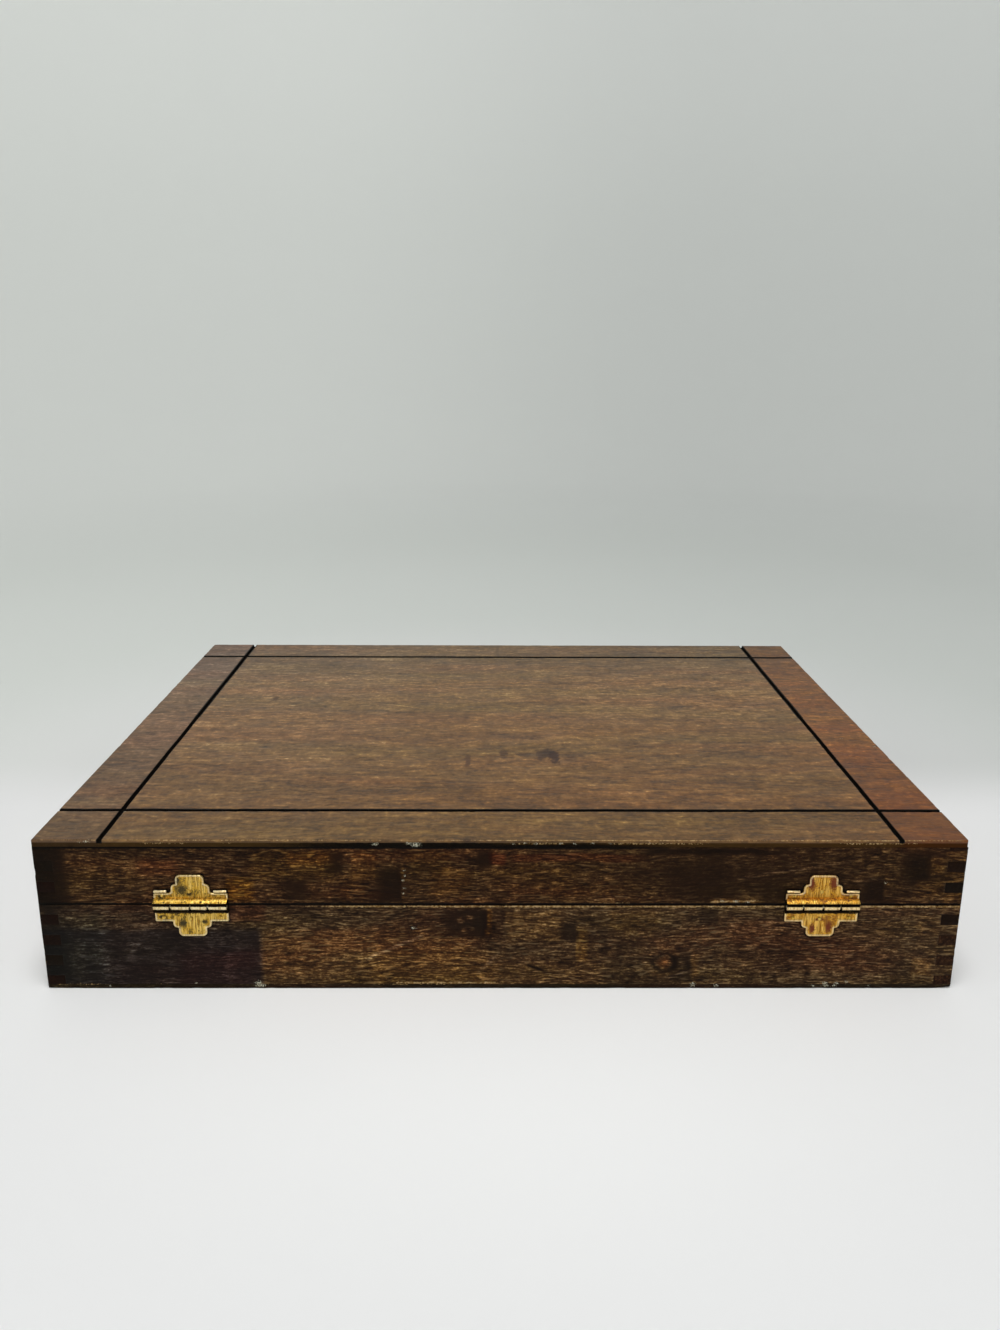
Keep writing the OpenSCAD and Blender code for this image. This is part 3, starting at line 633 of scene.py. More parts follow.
def frame_attrs(p, kind):
    """tone, wear, fleck and dirt (which also holds painted shade) for the points of a frame board. kind is front, back,
    left or right.
    """
    x, y, z = p.T
    if kind == "back":
        tone = rear_tone(x, z)
        corner = smooth(IN_X - 0.4, IN_X + 0.2, np.abs(x))
    elif kind == "front":
        tone = side_tone(-x, z, 5)
        corner = smooth(IN_X - 0.4, IN_X + 0.2, np.abs(x))
    else:
        tone = side_tone(y if kind == "left" else -y, z, 6 if kind == "left" else 7)
        corner = smooth(IN_Y - 0.4, IN_Y + 0.2, np.abs(y))
    # End grain of each finger takes the stain differently
    row = finger_row(np.clip(z, BOTTOM + 0.01, LIDTOP - 0.01))
    vary = _hash(row, np.sign(x).astype(int), np.sign(y).astype(int), 5)
    on_y = (np.abs(y) > HD - 0.3) & (np.abs(x) > IN_X - 0.05)
    on_x = (np.abs(x) > HW - 0.3) & (np.abs(y) > IN_Y - 0.05)
    if kind in ("left", "right"):
        k = np.where(on_y, 0.42 + 0.30 * vary, 1.0)
        back = on_y & (y > 0)
        for r, v in FINGER_TINTS_NEG.items():
            k = np.where(back & (x < 0) & (row == r), v, k)
        for r, v in FINGER_TINTS_POS.items():
            k = np.where(back & (x > 0) & (row == r), v, k)
        # Back-face end grain follows the darkness of the back boards next to it
        near = np.where(x > 0, 0.55, 1.0)
        k = np.where(back, k * near, k)
        tone = np.where(on_y[:, None], np.ones(3) * 1.0, tone) * k[:, None]
        tone = np.where((on_y & (vary > 0.5))[:, None], tone * np.array([0.92, 1.05, 1.0]), tone)
        tone = np.where((on_y & (vary <= 0.5))[:, None], tone * np.array([1.12, 0.88, 0.86]), tone)
    else:
        k = np.where(on_x, 0.42 + 0.30 * vary, 1.0)
        tone = tone * k[:, None]
    if kind == "back":
        warm = smooth(-IN_X + 1.5, -IN_X - 1, x) * (row % 2 == 1)
        tone = tint(tone, warm * (z > 38), GOLD, 0.35)
    # Distance to the outside edges
    ex, ey = HW - np.abs(x), HD - np.abs(y)
    vert = np.maximum(ex, ey)                       # 0 on a vertical edge
    seam = np.abs(z - SEAM)
    lowface = smooth(1.2, 0.0, np.minimum(ex, ey))  # on an outside face
    wear = np.zeros(len(x))
    n1 = fbm(x / 11, y / 11, z / 11, 61, 3)
    wear = np.maximum(wear, smooth(1.6, 0.0, vert) * (0.30 + 0.75 * (n1 - 0.35)))
    below = z < SEAM + 0.001
    sw = np.where(below, 0.64, 0.30) + 0.5 * (n1 - 0.5)
    if kind == "back":
        sw = np.where(below, (0.98 + 0.5 * (n1 - 0.5)) * (1 - 0.75 * smooth(62, 92, x)), sw)
    wear = np.maximum(wear, np.exp(-(((seam - np.where(below, 0.88, 1.05)) / np.where(below, 0.56, 0.45)) ** 2)) * lowface * sw)
    wear = np.maximum(wear, smooth(1.4, 0.0, z - BOTTOM) * lowface * smooth(0.45, 0.75, fbm(x / 16, y / 16, 0, 62, 3)) * 0.55)
    if kind == "back":
        span = smooth(-109, -104, x) * smooth(-83, -88, x) + 0.8 * smooth(-56, -52, x) * smooth(-33, -37, x)
        wear = np.maximum(wear, np.exp(-(((z - 41.0 + (x + 97) * 0.02) / 0.62) ** 2)) * span * 0.95 * (y > HD - 0.01))
        wear = np.maximum(wear, np.exp(-(((z - 2.7) / 0.62) ** 2)) * smooth(-4, 4, x) * smooth(50, 42, x) * 0.90 * (y > HD - 0.01))
    dirt_and_shade = np.zeros(len(x))
    # Painted shade: a dark band along the top of the lid boards under the top panel (a dark joint deepened as shade),
    # and a dark line in the seam between base and lid
    dirt_and_shade = np.maximum(dirt_and_shade, smooth(1.5, 0.3, LIDTOP - z) * lowface * 0.74 * (1 - 0.55 * smooth(-35, -95, x) * (y > 0)))
    dirt_and_shade = np.maximum(dirt_and_shade, np.exp(-(((z - SEAM - 0.15) / 0.62) ** 2)) * lowface * (0.85 + 0.3 * n1))
    if kind == "back":
        # Painted shade: a dark line round each hinge leaf, where the leaf's edge would shade the board
        for hx in HINGES.values():
            u, w = np.abs(x - hx), np.abs(z - SEAM)
            gap = np.full(len(x), 9.0)
            for hw_, hi_, lo_ in ((15.1, 7.0, 7.4), (7.9, 9.4, 10.3), (5.8, 13.6, 14.3)):
                gap = np.minimum(gap, np.hypot(np.maximum(u - hw_, 0), np.maximum(w - np.where(z > SEAM, hi_, lo_), 0)))
            dirt_and_shade = np.maximum(dirt_and_shade, np.exp(-((gap / 0.75) ** 2)) * 0.62 * (y > HD - 0.01))
    if kind == "front":
        # The same painted shade round the clasp's two plates
        for lo_, hi_ in ((23.4, 37.4), (41.2, 52.6)):
            gap = np.hypot(np.maximum(np.abs(x) - 7, 0), np.maximum(np.abs(z - (lo_ + hi_) / 2) - (hi_ - lo_) / 2, 0))
            dirt_and_shade = np.maximum(dirt_and_shade, np.exp(-((gap / 1.1) ** 2)) * 0.60 * (y < -HD + 0.01))
    # Joint lines between the fingers
    for b in FINGERS_BASE[1:-1] + FINGERS_LID[1:-1]:
        dirt_and_shade = np.maximum(dirt_and_shade, np.exp(-(((z - b) / 0.16) ** 2)) * corner * 0.42)
    fleck = np.zeros(len(x))
    if kind == "back":
        for cx, cz, r in ((101.8, 2.6, 2.4), (-81, 2.4, 1.7), (-97, 40.9, 1.5), (-91, 41.1, 1.3), (-102, 40.7, 1.2), (-137, 2.6, 1.8), (-142, 2.5, 1.5), (-158, 49.5, 0.9),
                          (40.0, 55.2, 1.15), (39.6, 52.6, 1.0), (40.2, 50.4, 1.1), (39.8, 47.0, 1.1), (40.1, 44.6, 1.0), (36.3, 28.6, 1.6), (-146.0, 3.0, 1.2), (128.0, 2.5, 0.9)):
            fleck = np.maximum(fleck, 1 - np.hypot((x - cx) / 1.6, z - cz) / r)
    return {"tone": tone, "wear": np.clip(wear, 0, 1), "dirt_and_shade": np.clip(dirt_and_shade, 0, 1), "fleck": np.clip(fleck, 0, 1)}


def shape_frame(p, lo, hi):
    """Eases and wears the outside edges of the base or the lid, and sinks the joint lines. lo and hi are the part's lowest and highest z."""
    q = p.copy()
    x, y, z = p.T
    ax, ay = np.abs(x), np.abs(y)
    row_edge = np.zeros(len(x), bool)
    for b in FINGERS_BASE[1:-1] + FINGERS_LID[1:-1]:
        row_edge |= np.abs(z - b) < 1e-3
    corner = (ax > IN_X - 1e-3) & (ay > IN_Y - 1e-3)
    face_y, face_x = ay > HD - 1e-3, ax > HW - 1e-3
    eps = 1e-3
    # the rows that touch this height, so that the line closes at its ends
    up, dn = finger_row(z + 0.01) % 2, finger_row(z - 0.01) % 2
    line_y = face_y & (((np.abs(ax - IN_X) < eps) & ((up == 0) | (dn == 0))) | (row_edge & (ax > IN_X - eps)))
    line_x = face_x & (((np.abs(ay - IN_Y) < eps) & ((up == 1) | (dn == 1))) | (row_edge & (ay > IN_Y - eps)))
    inside = (z > lo + 0.01) & (z < hi - 0.01)
    deep = 0.05 + 0.16 * vnoise(x / 4, y / 4, z / 4, 71)
    q[:, 1] -= np.where(line_y & inside, np.sign(y) * deep, 0)
    q[:, 0] -= np.where(line_x & inside, np.sign(x) * deep, 0)
    # each finger's end stands a little lower than the board round it
    row = finger_row(np.clip(z, BOTTOM + 0.01, LIDTOP - 0.01))
    sink = 0.10 * _hash(row, np.sign(x).astype(int), np.sign(y).astype(int), 9)
    fy = face_y & (ax > IN_X + eps) & (up == 0) & (dn == 0) & ~row_edge
    fx = face_x & (ay > IN_Y + eps) & (up == 1) & (dn == 1) & ~row_edge
    q[:, 1] -= np.where(fy, np.sign(y) * sink, 0)
    q[:, 0] -= np.where(fx, np.sign(x) * sink, 0)
    n = fbm(x / 9, y / 9, z / 9, 72, 3)
    chip = smooth(0.62, 0.80, fbm(x / 4.5, y / 4.5, z / 4.5, 73, 3))
    rv = 0.25 + 0.45 * n + 0.55 * chip
    for sx in (-1, 1):
        for sy in (-1, 1):
            round_edge(q, 0, sx, HW, 1, sy, HD, rv)
    return q


def ease(q, p, lo, hi, r_lo, r_hi):
    """Rounds the long edges at the bottom and top of a part of the chest."""
    for r, s, lim in ((r_lo, -1, -lo), (r_hi, 1, hi)):
        if r is None:
            continue
        for sy in (-1, 1):
            round_edge(q, 1, sy, HD, 2, s, lim, r)
        for sx in (-1, 1):
            round_edge(q, 0, sx, HW, 2, s, lim, r)


EDGE = (0.0, 0.14, 0.32, 0.55, 0.85, 1.25, 1.8, 2.6)


def frame_board(name, kind, part):
    lo, hi = (BOTTOM, SEAM) if part == "base" else (SEAM, LIDTOP)
    rows = FINGERS_BASE if part == "base" else FINGERS_LID
    step = 0.95 if kind == "back" else 1.9
    zstep = 0.62 if kind == "back" else 1.5
    zs = lines(lo, hi, zstep, rows[1:-1], (0.0, 0.22))
    zs = np.array(sorted(set(np.round(zs, 5)) | {round(lo + e, 5) for e in EDGE[:6]} | {round(hi - e, 5) for e in EDGE[:6]}))
    zs = zs[np.concatenate([[True], np.diff(zs) > 0.05])]
    edge_feats = [IN_X, -IN_X]
    if kind in ("front", "back"):
        s = 1 if kind == "back" else -1
        xs = lines(-HW, HW, step, (-IN_X, IN_X), (0.0, 0.22))
        if kind == "back":
            near = [np.arange(hx - 17.5, hx + 17.6, 0.7) for hx in HINGES.values()]
            xs = np.concatenate([xs[[all(abs(v - hx) > 17.9 for hx in HINGES.values()) for v in xs]]] + near)
        xs = np.array(sorted(set(np.round(xs, 5)) | {round(sg * (HW - e), 5) for e in EDGE for sg in (-1, 1)}))
        xs = xs[np.concatenate([[True], np.diff(xs) > 0.05])]
        ys = np.array(sorted({round(s * (HD - e), 5) for e in EDGE + (4.4, HD - IN_Y)}))
        solid = np.ones((len(xs) - 1, len(ys) - 1, len(zs) - 1), bool)
        xm, zm = (xs[1:] + xs[:-1]) / 2, (zs[1:] + zs[:-1]) / 2
        gone = (np.abs(xm)[:, None] > IN_X) & (finger_row(zm) % 2 == 0)[None, :]
        solid &= ~gone[:, None, :]
    else:
        s = 1 if kind == "right" else -1
        ys = lines(-HD, HD, step, (-IN_Y, IN_Y), (0.0, 0.22))
        ys = np.array(sorted(set(np.round(ys, 5)) | {round(sg * (HD - e), 5) for e in EDGE for sg in (-1, 1)}))
        ys = ys[np.concatenate([[True], np.diff(ys) > 0.05])]
        xs = np.array(sorted({round(s * (HW - e), 5) for e in EDGE + (4.4, HW - IN_X)}))
        solid = np.ones((len(xs) - 1, len(ys) - 1, len(zs) - 1), bool)
        ym, zm = (ys[1:] + ys[:-1]) / 2, (zs[1:] + zs[:-1]) / 2
        gone = (np.abs(ym)[:, None] > IN_Y) & (finger_row(zm) % 2 == 1)[None, :]
        solid &= ~gone[None, :, :]
    p, quads = cells(xs, ys, zs, solid)
    attrs = frame_attrs(p, kind)
    q = shape_frame(p, lo, hi)
    x, y, z = p.T
    n = fbm(x / 13, y / 13, z / 13, 74, 3)
    chip = smooth(0.60, 0.78, fbm(x / 5, y / 5, z / 5, 75, 3))
    seam_r = 0.18 + 0.45 * n + 0.55 * chip
    joint_r = 0.12 + 0.15 * n
    if part == "base":
        ease(q, p, lo, hi, joint_r, seam_r)
    else:
        ease(q, p, lo, hi, seam_r, joint_r)
    ob = new_object(name, q, quads, wood_x if kind in ("front", "back") else wood_y, attrs, sharp=48)
    return stand_for(ob, "lid" if part == "lid" else "base", "frame_wood", f"{part}_{kind}_board")


for part in ("base", "lid"):
    for kind in ("front", "back", "left", "right"):
        frame_board(f"{part}_{kind}_wood", kind, part)


# ------------------------------------------------------------------ top panel
def stain(x, y, cx, cy, rx, ry, seed):
    """An irregular blot from 0 to 1."""
    d = np.hypot((x - cx) / rx, (y - cy) / ry)
    d = d + (fbm(x / 2.6, y / 4.0, 2.0, seed, 3) - 0.5) * 1.5 + (fbm(x / 1.3, y / 1.6, 5.0, seed + 7, 2) - 0.5) * 0.7
    return smooth(1.15, 0.65, d)


def build_top():
    offs = (0.0, 0.45, 0.70, 0.84, 0.92, 0.98, 1.06, 1.28, 1.7, 2.4)
    depth = {0.0: -1.5, 0.45: -1.49, 0.70: -1.44, 0.84: -1.25, 0.92: -0.80, 0.98: -0.22, 1.06: -0.05, 1.28: 0.0}

    def axis_lines(half, mid, step):
        keep = {0.0}
        for e in EDGE:
            keep |= {half - e, -(half - e)}
        for c in (-mid, mid):
            for o in offs:
                keep |= {c - o, c + o}
        keep = sorted(round(v, 5) for v in keep)
        out = [keep[0]]
        for v in keep[1:]:
            gap = v - out[-1]
            if gap < 0.03:
                continue
            k = max(1, int(math.ceil(gap / step - 0.3)))
            base = out[-1]
            out += [base + gap * (i + 1) / k for i in range(k)]
        return np.array(out)

    xs, ys = axis_lines(HW, GX, 1.5), axis_lines(HD, GY, 2.2)
    # finer where the marks are
    xs = np.concatenate([xs[(xs < -41) | (xs > 40)], np.arange(-40.5, 39.6, 0.8)])
    xs.sort()
    ys = np.concatenate([ys[(ys < 30) | (ys > 97)], np.arange(30.6, 96.6, 1.1)])
    ys.sort()
    nx, ny = len(xs), len(ys)
    X, Y = np.meshgrid(xs, ys, indexing="ij")
    dk = sorted(depth)
    dv = [depth[k] for k in dk]

    def profile(d):
        return np.interp(np.abs(d), dk, dv)

    dX, dY = np.abs(X) - GX, np.abs(Y) - GY
    H = np.minimum(profile(dX), profile(dY))
    # A slightly uneven surface and lips
    lip = np.maximum(np.exp(-((np.abs(dX) - 1.1) / 0.35) ** 2), np.exp(-((np.abs(dY) - 1.1) / 0.35) ** 2))
    chips = smooth(0.60, 0.85, fbm(X / 3.0, Y / 3.0, 0.0, 81, 3))
    H = H - lip * chips * 0.25 - 0.02 * fbm(X / 40, Y / 40, 0, 82, 2)
    Z = FULL + np.minimum(H, 0)
    # The saw wandered a little
    wx = (fbm(Y / 26, np.sign(X) * 3, 0, 83, 3) - 0.5) * 0.5
    wy = (fbm(X / 22, np.sign(Y) * 3, 0, 84, 3) - 0.5) * 0.55
    X2 = X + wx * np.exp(-((dX / 3.5) ** 2))
    Y2 = Y + wy * np.exp(-((dY / 3.5) ** 2))
    top = np.stack([X2, Y2, Z], 2).reshape(-1, 3)
    rest = np.stack([X, Y, Z], 2).reshape(-1, 3)
    faces = []
    idx = np.arange(nx * ny).reshape(nx, ny)
    q = np.stack([idx[:-1, :-1], idx[1:, :-1], idx[1:, 1:], idx[:-1, 1:]], 2).reshape(-1, 4)
    faces += q.tolist()
    # Skirt
    loop = [idx[i, 0] for i in range(nx)] + [idx[-1, j] for j in range(1, ny)] + [idx[i, -1] for i in range(nx - 2, -1, -1)] + [idx[0, j] for j in range(ny - 2, 0, -1)]
    loop = np.array(loop)
    pts, raws = [top], [rest]
    prev = loop
    base = len(top)
    downs = [0.14, 0.32, 0.55, 0.85, 1.25, 1.8, 2.4, 2.85, 3.05, 3.2]
    for r, d in enumerate(downs):
        ring = rest[loop].copy()
        ring[:, 2] = ring[:, 2] - (ring[:, 2] - LIDTOP) * d / 3.2
        ring_top = top[loop].copy()
        ring_top[:, 2] = ring[:, 2]
        here = np.arange(base, base + len(loop))
        base += len(loop)
        pts.append(ring_top)
        raws.append(ring)
        n = len(loop)
        for i in range(n):
            j = (i + 1) % n
            faces.append([int(prev[i]), int(here[i]), int(here[j]), int(prev[j])])
        prev = here
    faces.append([int(i) for i in prev[::-1]])
    p = np.concatenate(raws)
    q3 = np.concatenate(pts)
    x, y, z = p.T
    n = fbm(x / 11, y / 11, z / 11, 85, 3)
    chip = smooth(0.56, 0.76, fbm(x / 3.6, y / 3.6, z / 3.6, 86, 3))
    small = fbm(x / 1.6, y / 1.6, z / 1.6, 87, 2)
    rv = 0.35 + 0.5 * n + np.where((x < 0) & (y > 0), 0.9, 0.0)
    for sx in (-1, 1):
        for sy in (-1, 1):
            round_edge(q3, 0, sx, HW, 1, sy, HD, rv)
    rt = 0.36 + 0.30 * n + 0.34 * chip + 0.22 * small
    ease(q3, p, LIDTOP, FULL, 0.12 + 0.2 * n, rt)
    # ---- tints
    ax, ay = HW - np.abs(x), HD - np.abs(y)
    sidef = smooth(0.5, 0.1, np.minimum(ax, ay)) * smooth(FULL - 0.9, FULL - 1.35, z)
    t = np.ones((len(x), 3))
    t *= (0.93 + 0.16 * fbm(x / 60, y / 26, 0.0, 101, 3))[:, None]
    t *= (0.95 + 0.11 * fbm(x / 14, y / 40, 3.0, 102, 2))[:, None]
    bandn = fbm(x / 160, y / 15, 0.0, 103, 2)
    t = tint(t, smooth(0.52, 0.72, bandn), (1.03, 0.95, 0.91), 0.9)
    t = tint(t, smooth(0.48, 0.28, bandn), (0.96, 1.0, 0.93), 0.9)
    # The -X strip and the near corner on that side are redder and darker
    t = tint(t, smooth(-GX + 2, -GX - 1.5, x), (1.0, 0.68, 0.40), 0.85)
    t = tint(t, smooth(-120, -185, x) * smooth(20, 120, y), (0.98, 0.80, 0.66), 0.5)
    t = tint(t, smooth(20, 120, x), (1.03, 1.07, 1.22), 1.0)
    t = tint(t, smooth(GX - 2, GX + 1.5, x), (0.82, 0.85, 1.20), 0.8)
    # Slightly different strips outside the grooves
    t = tint(t, smooth(GY - 2, GY + 1.5, y), (0.96, 0.97, 0.95), 0.8)
    # Painted sheen: the top turns greyer and bluer towards the far (-Y) edge, as the backdrop's reflection, and warmer
    # and darker towards the near (+Y) edge
    t = tint(t, smooth(-60, 130, y), (0.75, 0.66, 0.49), 0.9)
    t = tint(t, smooth(-45, -105, y), (0.80, 0.86, 0.98), 1.0)
    # Dark stains near the middle
    for i, (cx, cy, rx, ry, k) in enumerate((
        (-20.8, 51.0, 2.6, 7.0, 0.80), (-26.0, 52.5, 3.0, 8.2, 1.00), (-23.0, 46.0, 4.6, 3.0, 0.60), (-11.5, 50.0, 5.6, 2.0, 0.60), (-34.0, 53.0, 1.8, 7.5, 0.45),
        (-1.8, 49.0, 2.6, 6.2, 0.65), (4.2, 51.5, 5.0, 2.0, 0.45), (15.8, 57.0, 2.2, 7.6, 0.60), (6.8, 41.5, 3.2, 3.0, 0.35), (127, -31.0, 2.8, 3.2, 0.65),
        (-127, -78.0, 2.6, 4.2, 0.50), (-62, 37.0, 4.0, 2.4, 0.35), (-72, 40.5, 6.5, 2.2, 0.38), (-84, 38.5, 4.5, 2.4, 0.40), (24, 84.0, 4.0, 3.6, 0.35), (34, 88.0, 2.4, 6.0, 0.3), (13, 93.0, 5.5, 2.6, 0.3))):
        t = tint(t, stain(x, y, cx, cy, rx, ry, 500 + 11 * i), (0.24, 0.14, 0.12), k)
    t = tint(t, blob(x, y, 24, 90, 16, 8, (10, 10, 6, 6), 3.0, 520), (0.80, 0.84, 0.80), 0.35)
    t = tint(t, blob(x, y, -115, 86, 26, 3.5, (10, 10, 3, 3), 3.0, 521), (0.72, 0.70, 0.72), 0.45)
    t = tint(t, blob(x, y, 186, 63, 6.5, 0.8, (3, 1, 0.5, 0.5), 0.6, 522), (0.35, 0.32, 0.32), 0.8)
    # Fine crack near the far edge
    crack = np.exp(-(((x - 0.6 - 1.2 * (fbm(y / 7, 0, 0, 104, 2) - 0.5)) / 0.8) ** 2)) * smooth(-98, -112, y)
    t = tint(t, crack, (0.5, 0.46, 0.45), 0.6)
    ends = np.maximum(smooth(-35, -95, x), 0.85 * smooth(60, 115, x)) * (y > 0)
    shade = np.array([0.27, 0.28, 0.25])[None, :] * (1 + 0.9 * ends)[:, None]
    t = np.where((sidef > 0)[:, None], t * (1 - sidef[:, None] * (1 - shade)), t)
    gap = np.minimum(np.abs(np.abs(x) - GX) - 1.0, np.abs(np.abs(y) - GY) - 1.12)
    groove = smooth(np.where(y < 0, 1.15, 0.42), 0.0, gap) * np.where(z > LIDTOP + 1.3, 1.0, 0.0) * (1 - smooth(0.6, 0.2, np.minimum(ax, ay)) * (z < FULL - 1.6))
    dirt_and_shade = np.maximum(groove, 0.0)
    small0 = fbm(x / 2.4, y / 2.4, z / 1.2, 88, 3)
    fade = 1.0 - 0.80 * ends
    dirt_and_shade = np.maximum(dirt_and_shade, np.where(np.minimum(ax, ay) < 0.3, smooth(FULL - 0.85, FULL - 1.35, z + 1.1 * (small0 - 0.5)) * 0.66 * fade, 0))
    # crumbs along the top edge
    arris = smooth(0.72, 0.05, np.hypot(np.minimum(ax, ay), FULL - z))
    seg = 0.74 + 0.70 * (fbm(x / 18, y / 18, 0, 105, 3) - 0.4)
    near = y > HD - 3
    for c, h, k in ((-5.5, 24, 0.25), (-48, 20, 0.28), (-72, 12, 0.2), (60, 8, 0.15), (-155, 26, 0.22), (150, 30, 0.1)):
        seg = np.where(near, seg + k * np.exp(-(((x - c) / h) ** 2)), seg)
    crumbs = np.exp(-(((FULL - z - 1.5) / 0.42) ** 2)) * (np.minimum(ax, ay) < 0.3) * np.clip((seg - 0.88) * 5, 0, 1)
    dirt_and_shade = dirt_and_shade * (1 - 0.9 * crumbs)
    wear = np.maximum(arris * np.clip(seg - 0.12, 0.05, 1.0), crumbs * 0.95)
    lipw = lip.reshape(-1)
    wear[: len(lipw)] = np.maximum(wear[: len(lipw)], lipw * smooth(0.5, 0.9, chips.reshape(-1)) * 0.5)
    fleck = np.zeros(len(x))
    for cx, cy, cz, r in ((51.2, 140, 66.9, 2.1), (34.8, 140, 66.6, 3.0), (38.0, 140, 67.1, 1.9), (-175.2, 28.5, 68.6, 1.1), (-188.3, 39.3, 68.6, 1.2),
                          (163, 112.5, 68.4, 1.15), (161.5, 114.0, 68.5, 1.0), (-14, 140, 67.1, 1.5), (-24, 140, 67.2, 1.3), (-5, 140, 67.1, 1.3), (-9.5, 140, 67.3, 1.2), (-30, 140, 67.1, 1.2), (-37, 140, 67.3, 1.4),
                          (-44, 140, 67.2, 1.3), (168, 139.8, 67.9, 1.9), (171, 139.9, 67.6, 1.3), (-163.5, 113.5, 68.5, 1.0), (-60, 140, 67.5, 0.9)):
        fleck = np.maximum(fleck, 1 - np.sqrt(((x - cx) / 1.5) ** 2 + ((y - cy) / 1.2) ** 2 + ((z - cz) / 0.8) ** 2) / r)
    attrs = {"tone": t, "wear": np.clip(wear, 0, 1), "dirt_and_shade": np.clip(dirt_and_shade, 0, 1), "fleck": np.clip(fleck, 0, 1)}
    ids = np.array([f[0] if len(f) > 4 else f for f in faces if len(f) == 4])
    zf = p[ids][:, :, 2].mean(1)
    skirt = (ids >= len(top)).any(1)
    dark = np.where(skirt, zf < FULL - 1.2, zf < FULL - 0.25).astype(int).tolist() + [1]
    ob = new_object("lid_top_wood", q3, faces, [wood_top, wood_edge], attrs, sharp=50, face_mat=dark)
    return stand_for(ob, "lid", "top_panel_wood", "lid_top_panel")


build_top()


def build_bottom():
    def ax(half, step):
        v = sorted({round(half - e, 5) for e in EDGE} | {round(-(half - e), 5) for e in EDGE})
        out = [v[0]]
        for a in v[1:]:
            gap = a - out[-1]
            k = max(1, int(math.ceil(gap / step - 0.3)))
            b = out[-1]
            out += [b + gap * (i + 1) / k for i in range(k)]
        return np.array(out)

    xs, ys = ax(HW, 1.8), ax(HD, 4.0)
    zs = np.array([0, 0.14, 0.32, 0.55, 0.85, 1.2, 1.5, 1.75, 1.9, 2.0])
    p, quads = cells(xs, ys, zs, np.ones((len(xs) - 1, len(ys) - 1, len(zs) - 1), bool))
    q = p.copy()
    x, y, z = p.T
    n = fbm(x / 12, y / 12, z / 6, 111, 3)
    chip = smooth(0.58, 0.78, fbm(x / 4, y / 4, z / 4, 112, 3))
    rv = 0.35 + 0.5 * n + 0.4 * chip
    for sx in (-1, 1):
        for sy in (-1, 1):
            round_edge(q, 0, sx, HW, 1, sy, HD, rv)
    far = np.hypot(HW - np.abs(x), HD - np.abs(y))
    rb = 0.14 + 0.18 * n + 0.26 * chip + np.where((x < 0) & (y > 0), 1.5, 0.7) * np.exp(-((far / 5) ** 2))
    ease(q, p, 0.0, 2.0, rb, 0.12 + 0.1 * n)
    ex = np.minimum(HW - np.abs(x), HD - np.abs(y))
    side = smooth(0.5, 0.0, ex)
    t = np.ones((len(x), 3)) * (0.85 + 0.3 * fbm(x / 30, y / 20, 0, 113, 3))[:, None]
    t = t * (1 - side[:, None] * (1 - np.array([0.40, 0.50, 0.58])))
    rim = smooth(0.75, 0.0, 2.0 - z) * side
    wear = rim * (0.12 + 0.6 * smooth(0.5, 0.7, fbm(x / 22, y / 22, 0, 114, 3)))
    back = y > HD - 1
    wear = np.where(back, np.maximum(wear, rim * 0.6 * np.exp(-(((x - 29) / 19) ** 2))), wear)
    wear = np.maximum(wear, side * smooth(0.6, 0.0, z) * 0.35 * smooth(0.45, 0.6, n))
    dirt_and_shade = side * 0.37 * (1 - rim)
    fleck = np.zeros(len(x))
    for cx, r in ((101.8, 2.3), (100.2, 1.7), (-81, 1.7), (-91, 1.6), (-137, 1.8), (-141, 1.6), (-132, 1.3), (165, 1.1), (-155, 1.2)):
        fleck = np.maximum(fleck, np.where(back, 1 - np.hypot((x - cx) / 1.6, (z - 1.4) / 1.0) / r, 0))
    attrs = {"tone": t, "wear": np.clip(wear, 0, 1), "dirt_and_shade": np.clip(dirt_and_shade, 0, 1), "fleck": np.clip(fleck, 0, 1)}
    ob = new_object("bottom_panel_wood", q, quads, wood_bottom, attrs, sharp=48)
    return stand_for(ob, "base", "bottom_panel_wood", "bottom_panel")


build_bottom()


